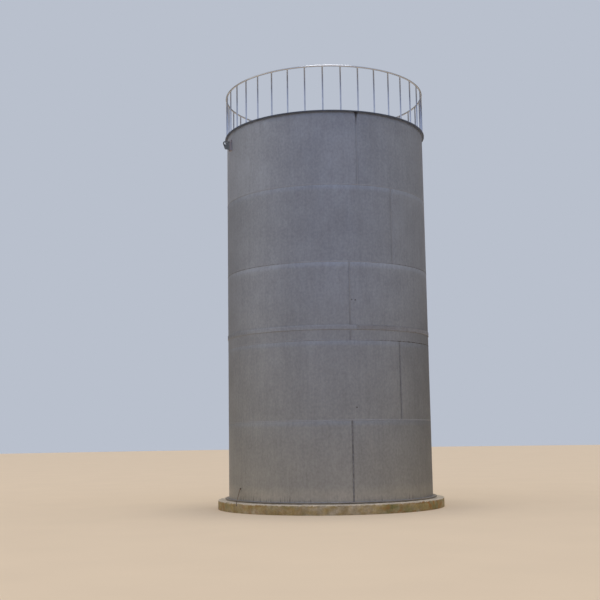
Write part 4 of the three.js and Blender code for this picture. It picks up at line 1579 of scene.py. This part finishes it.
# Stage
CAMERA_PLACE = (-1.5971, -20.8341, 1.4528)
CAMERA_HEADING = -2.82
CAMERA_PITCH = 7.643
CAMERA_ROLL = -0.854
CAMERA_LENS = 60.41
SUN_TILT = (-3, 2)
SUN_SPREAD = 27
SUN_STRENGTH = 1.1
SUN_COLOUR = "#fff8ee"
SOFTBOX_PLACE = (-34, -4, 14)
SOFTBOX_TARGET = (0, 0, 4)
SOFTBOX_SIZE = 22
SOFTBOX_POWER = 550
SOFTBOX_COLOUR = "#fffaf4"
ROOM_COLOUR = "#dfe1ea"
ROOM_FRONT_COLOUR = "#c6d6ff"
ROOM_BRIGHT = 0.9
ROOM_DIM = 0.35
BACKDROP_COLOUR = "#b9c0cd"
FLOOR_RADIUS = 90
FLOOR_RIM = 70


def camera():
    data = bpy.data.cameras.new("photo_view")
    data.lens = CAMERA_LENS
    data.clip_end = 500
    view = bpy.data.objects.new("photo_view", data)
    bpy.context.scene.collection.objects.link(view)
    view.matrix_world = (
        Matrix.Translation(CAMERA_PLACE)
        @ Matrix.Rotation(radians(CAMERA_HEADING), 4, "Z")
        @ Matrix.Rotation(radians(90 + CAMERA_PITCH), 4, "X")
        @ Matrix.Rotation(radians(CAMERA_ROLL), 4, "Z")
    )
    bpy.context.scene.camera = view


def sun():
    """The soft light overhead."""
    tilt_x, tilt_y = SUN_TILT
    bpy.ops.object.light_add(type="SUN", rotation=(radians(tilt_x), radians(tilt_y), 0))
    lamp = bpy.context.active_object
    lamp.name = "overhead_light"
    lamp.data.angle = radians(SUN_SPREAD)
    lamp.data.energy = SUN_STRENGTH
    lamp.data.color = linear(SUN_COLOUR)[:3]


def softbox():
    """The wide light at the left."""
    bpy.ops.object.light_add(type="AREA", location=SOFTBOX_PLACE)
    lamp = bpy.context.active_object
    lamp.name = "left_softbox"
    lamp.data.shape = "DISK"
    lamp.data.size = SOFTBOX_SIZE
    lamp.data.energy = SOFTBOX_POWER
    lamp.data.color = linear(SOFTBOX_COLOUR)[:3]
    lamp.visible_camera = False
    aim = Vector(SOFTBOX_TARGET) - Vector(SOFTBOX_PLACE)
    lamp.rotation_euler = aim.to_track_quat("-Z", "Y").to_euler()


def room():
    """A pale room, cooler in front and dim behind, whose light comes from above its dark horizon."""
    world = bpy.data.worlds.new("pale_room")
    bpy.context.scene.world = world
    world.use_nodes = True
    tree = world.node_tree
    tree.nodes.clear()
    heading = add_node(tree, "ShaderNodeTexCoord").outputs["Generated"]
    parts = add_node(tree, "ShaderNodeSeparateXYZ", {"Vector": heading}).outputs
    cool = add_node(tree, "ShaderNodeMapRange", {
        "Value": parts["Y"], "From Min": 0.0, "From Max": -0.95})
    shade = add_node(tree, "ShaderNodeMix", {0: cool, 6: linear(ROOM_COLOUR), 7: linear(ROOM_FRONT_COLOUR)},
                     data_type="RGBA")
    behind = add_node(tree, "ShaderNodeMapRange", {
        "Value": parts["Y"], "From Min": 0.2, "From Max": 1.0, "To Min": ROOM_BRIGHT, "To Max": ROOM_DIM})
    glow = add_node(tree, "ShaderNodeMapRange", {
        "Value": parts["Z"], "From Min": 0.1, "From Max": 0.4, "To Min": 0.0, "To Max": behind},
        interpolation_type="SMOOTHSTEP")
    lit = add_node(tree, "ShaderNodeBackground", {"Color": shade, "Strength": glow})
    seen = add_node(tree, "ShaderNodeBackground", {"Color": linear(BACKDROP_COLOUR), "Strength": 1.0})
    rays = add_node(tree, "ShaderNodeLightPath").outputs["Is Camera Ray"]
    both = add_node(tree, "ShaderNodeMixShader", {0: rays, 1: lit, 2: seen})
    add_node(tree, "ShaderNodeOutputWorld", {"Surface": both})


def studio():
    """The floor, whose middle is a face of its own."""
    bpy.ops.mesh.primitive_circle_add(vertices=96, radius=FLOOR_RADIUS, fill_type="NGON")
    floor = named("studio_floor")
    with editing(floor):
        bpy.ops.mesh.select_all(action="SELECT")
        bpy.ops.mesh.inset(thickness=FLOOR_RIM)
    floor.data.materials.append(made_of(matt_floor_paint))
    bpy.context.scene.view_settings.view_transform = "Standard"


# One operator for each piece or group of like pieces
class TankOperator:
    """Makes its pieces one after another."""
    bl_options = {"REGISTER", "UNDO"}
    makers = ()

    def execute(self, context):
        for make in self.makers:
            make()
        return {"FINISHED"}


class TANK_OT_foundation(TankOperator, bpy.types.Operator):
    """Adds the concrete plinth, the bitumen bed and the tank's floor plate"""
    bl_idname = "tank.foundation"
    bl_label = "Foundation"
    makers = (plinth, bed, mortar_fillet, floor_plate)


class TANK_OT_wall(TankOperator, bpy.types.Operator):
    """Adds the ten wall plates"""
    bl_idname = "tank.wall"
    bl_label = "Wall Plates"
    makers = (wall_plates,)


class TANK_OT_wall_welds(TankOperator, bpy.types.Operator):
    """Adds the wall's weld beads and the scars of its erection brackets"""
    bl_idname = "tank.wall_welds"
    bl_label = "Wall Welds"
    makers = (wall_welds, weld_scars)


class TANK_OT_band(TankOperator, bpy.types.Operator):
    """Adds the stiffening bar round the third course"""
    bl_idname = "tank.band"
    bl_label = "Stiffening Bar"
    makers = (band,)


class TANK_OT_edge(TankOperator, bpy.types.Operator):
    """Adds the dark ring round the roof's edge"""
    bl_idname = "tank.edge"
    bl_label = "Edge Ring"
    makers = (edge_ring,)


class TANK_OT_roof(TankOperator, bpy.types.Operator):
    """Adds the cone roof with its crown plate"""
    bl_idname = "tank.roof"
    bl_label = "Roof"
    makers = (roof_plates,)


class TANK_OT_roof_fittings(TankOperator, bpy.types.Operator):
    """Adds the manhole and the vent on the roof"""
    bl_idname = "tank.roof_fittings"
    bl_label = "Manhole and Vent"
    makers = (manhole, vent)


class TANK_OT_guardrail(TankOperator, bpy.types.Operator):
    """Adds the guardrail round the roof"""
    bl_idname = "tank.guardrail"
    bl_label = "Guardrail"
    makers = (guardrail,)


class TANK_OT_ladder(TankOperator, bpy.types.Operator):
    """Adds the rear ladder with its handrails and wall brackets"""
    bl_idname = "tank.ladder"
    bl_label = "Ladder"
    makers = (ladder, handrails, brackets)


class TANK_OT_lugs(TankOperator, bpy.types.Operator):
    """Adds the two lifting lugs"""
    bl_idname = "tank.lugs"
    bl_label = "Lifting Lugs"
    makers = (lugs,)


class TANK_OT_earth_strap(TankOperator, bpy.types.Operator):
    """Adds the earth strap at the foot"""
    bl_idname = "tank.earth_strap"
    bl_label = "Earth Strap"
    makers = (earth_strap,)


class TANK_OT_stage(TankOperator, bpy.types.Operator):
    """Adds the camera, the lights and the floor"""
    bl_idname = "tank.stage"
    bl_label = "Stage"
    makers = (camera, sun, softbox, room, studio)


OPERATORS = (
    TANK_OT_stage, TANK_OT_foundation, TANK_OT_wall, TANK_OT_wall_welds, TANK_OT_band,
    TANK_OT_edge, TANK_OT_roof, TANK_OT_roof_fittings, TANK_OT_guardrail, TANK_OT_ladder,
    TANK_OT_lugs, TANK_OT_earth_strap,
)


class TANK_PT_sidebar(bpy.types.Panel):
    """Lists the tank's pieces, sizes and colours"""
    bl_label = "Storage Tank"
    bl_space_type = "VIEW_3D"
    bl_region_type = "UI"
    bl_category = "Tank"

    def draw(self, context):
        for group in (context.scene.tank_sizes, context.scene.tank_colours):
            box = self.layout.box()
            for name in group.__annotations__:
                box.prop(group, name)
        for operator in OPERATORS:
            self.layout.operator(operator.bl_idname)


CLASSES = (TankSizes, TankColours, *OPERATORS, TANK_PT_sidebar)


def register():
    for each in CLASSES:
        bpy.utils.register_class(each)
    bpy.types.Scene.tank_sizes = PointerProperty(type=TankSizes)
    bpy.types.Scene.tank_colours = PointerProperty(type=TankColours)


def unregister():
    del bpy.types.Scene.tank_colours
    del bpy.types.Scene.tank_sizes
    for each in reversed(CLASSES):
        bpy.utils.unregister_class(each)


def main():
    register()
    bpy.ops.tank.stage()
    bpy.ops.tank.foundation()
    bpy.ops.tank.wall()
    bpy.ops.tank.wall_welds()
    bpy.ops.tank.band()
    bpy.ops.tank.edge()
    bpy.ops.tank.roof()
    bpy.ops.tank.roof_fittings()
    bpy.ops.tank.guardrail()
    bpy.ops.tank.ladder()
    bpy.ops.tank.lugs()
    bpy.ops.tank.earth_strap()


if __name__ == "__main__":
    main()
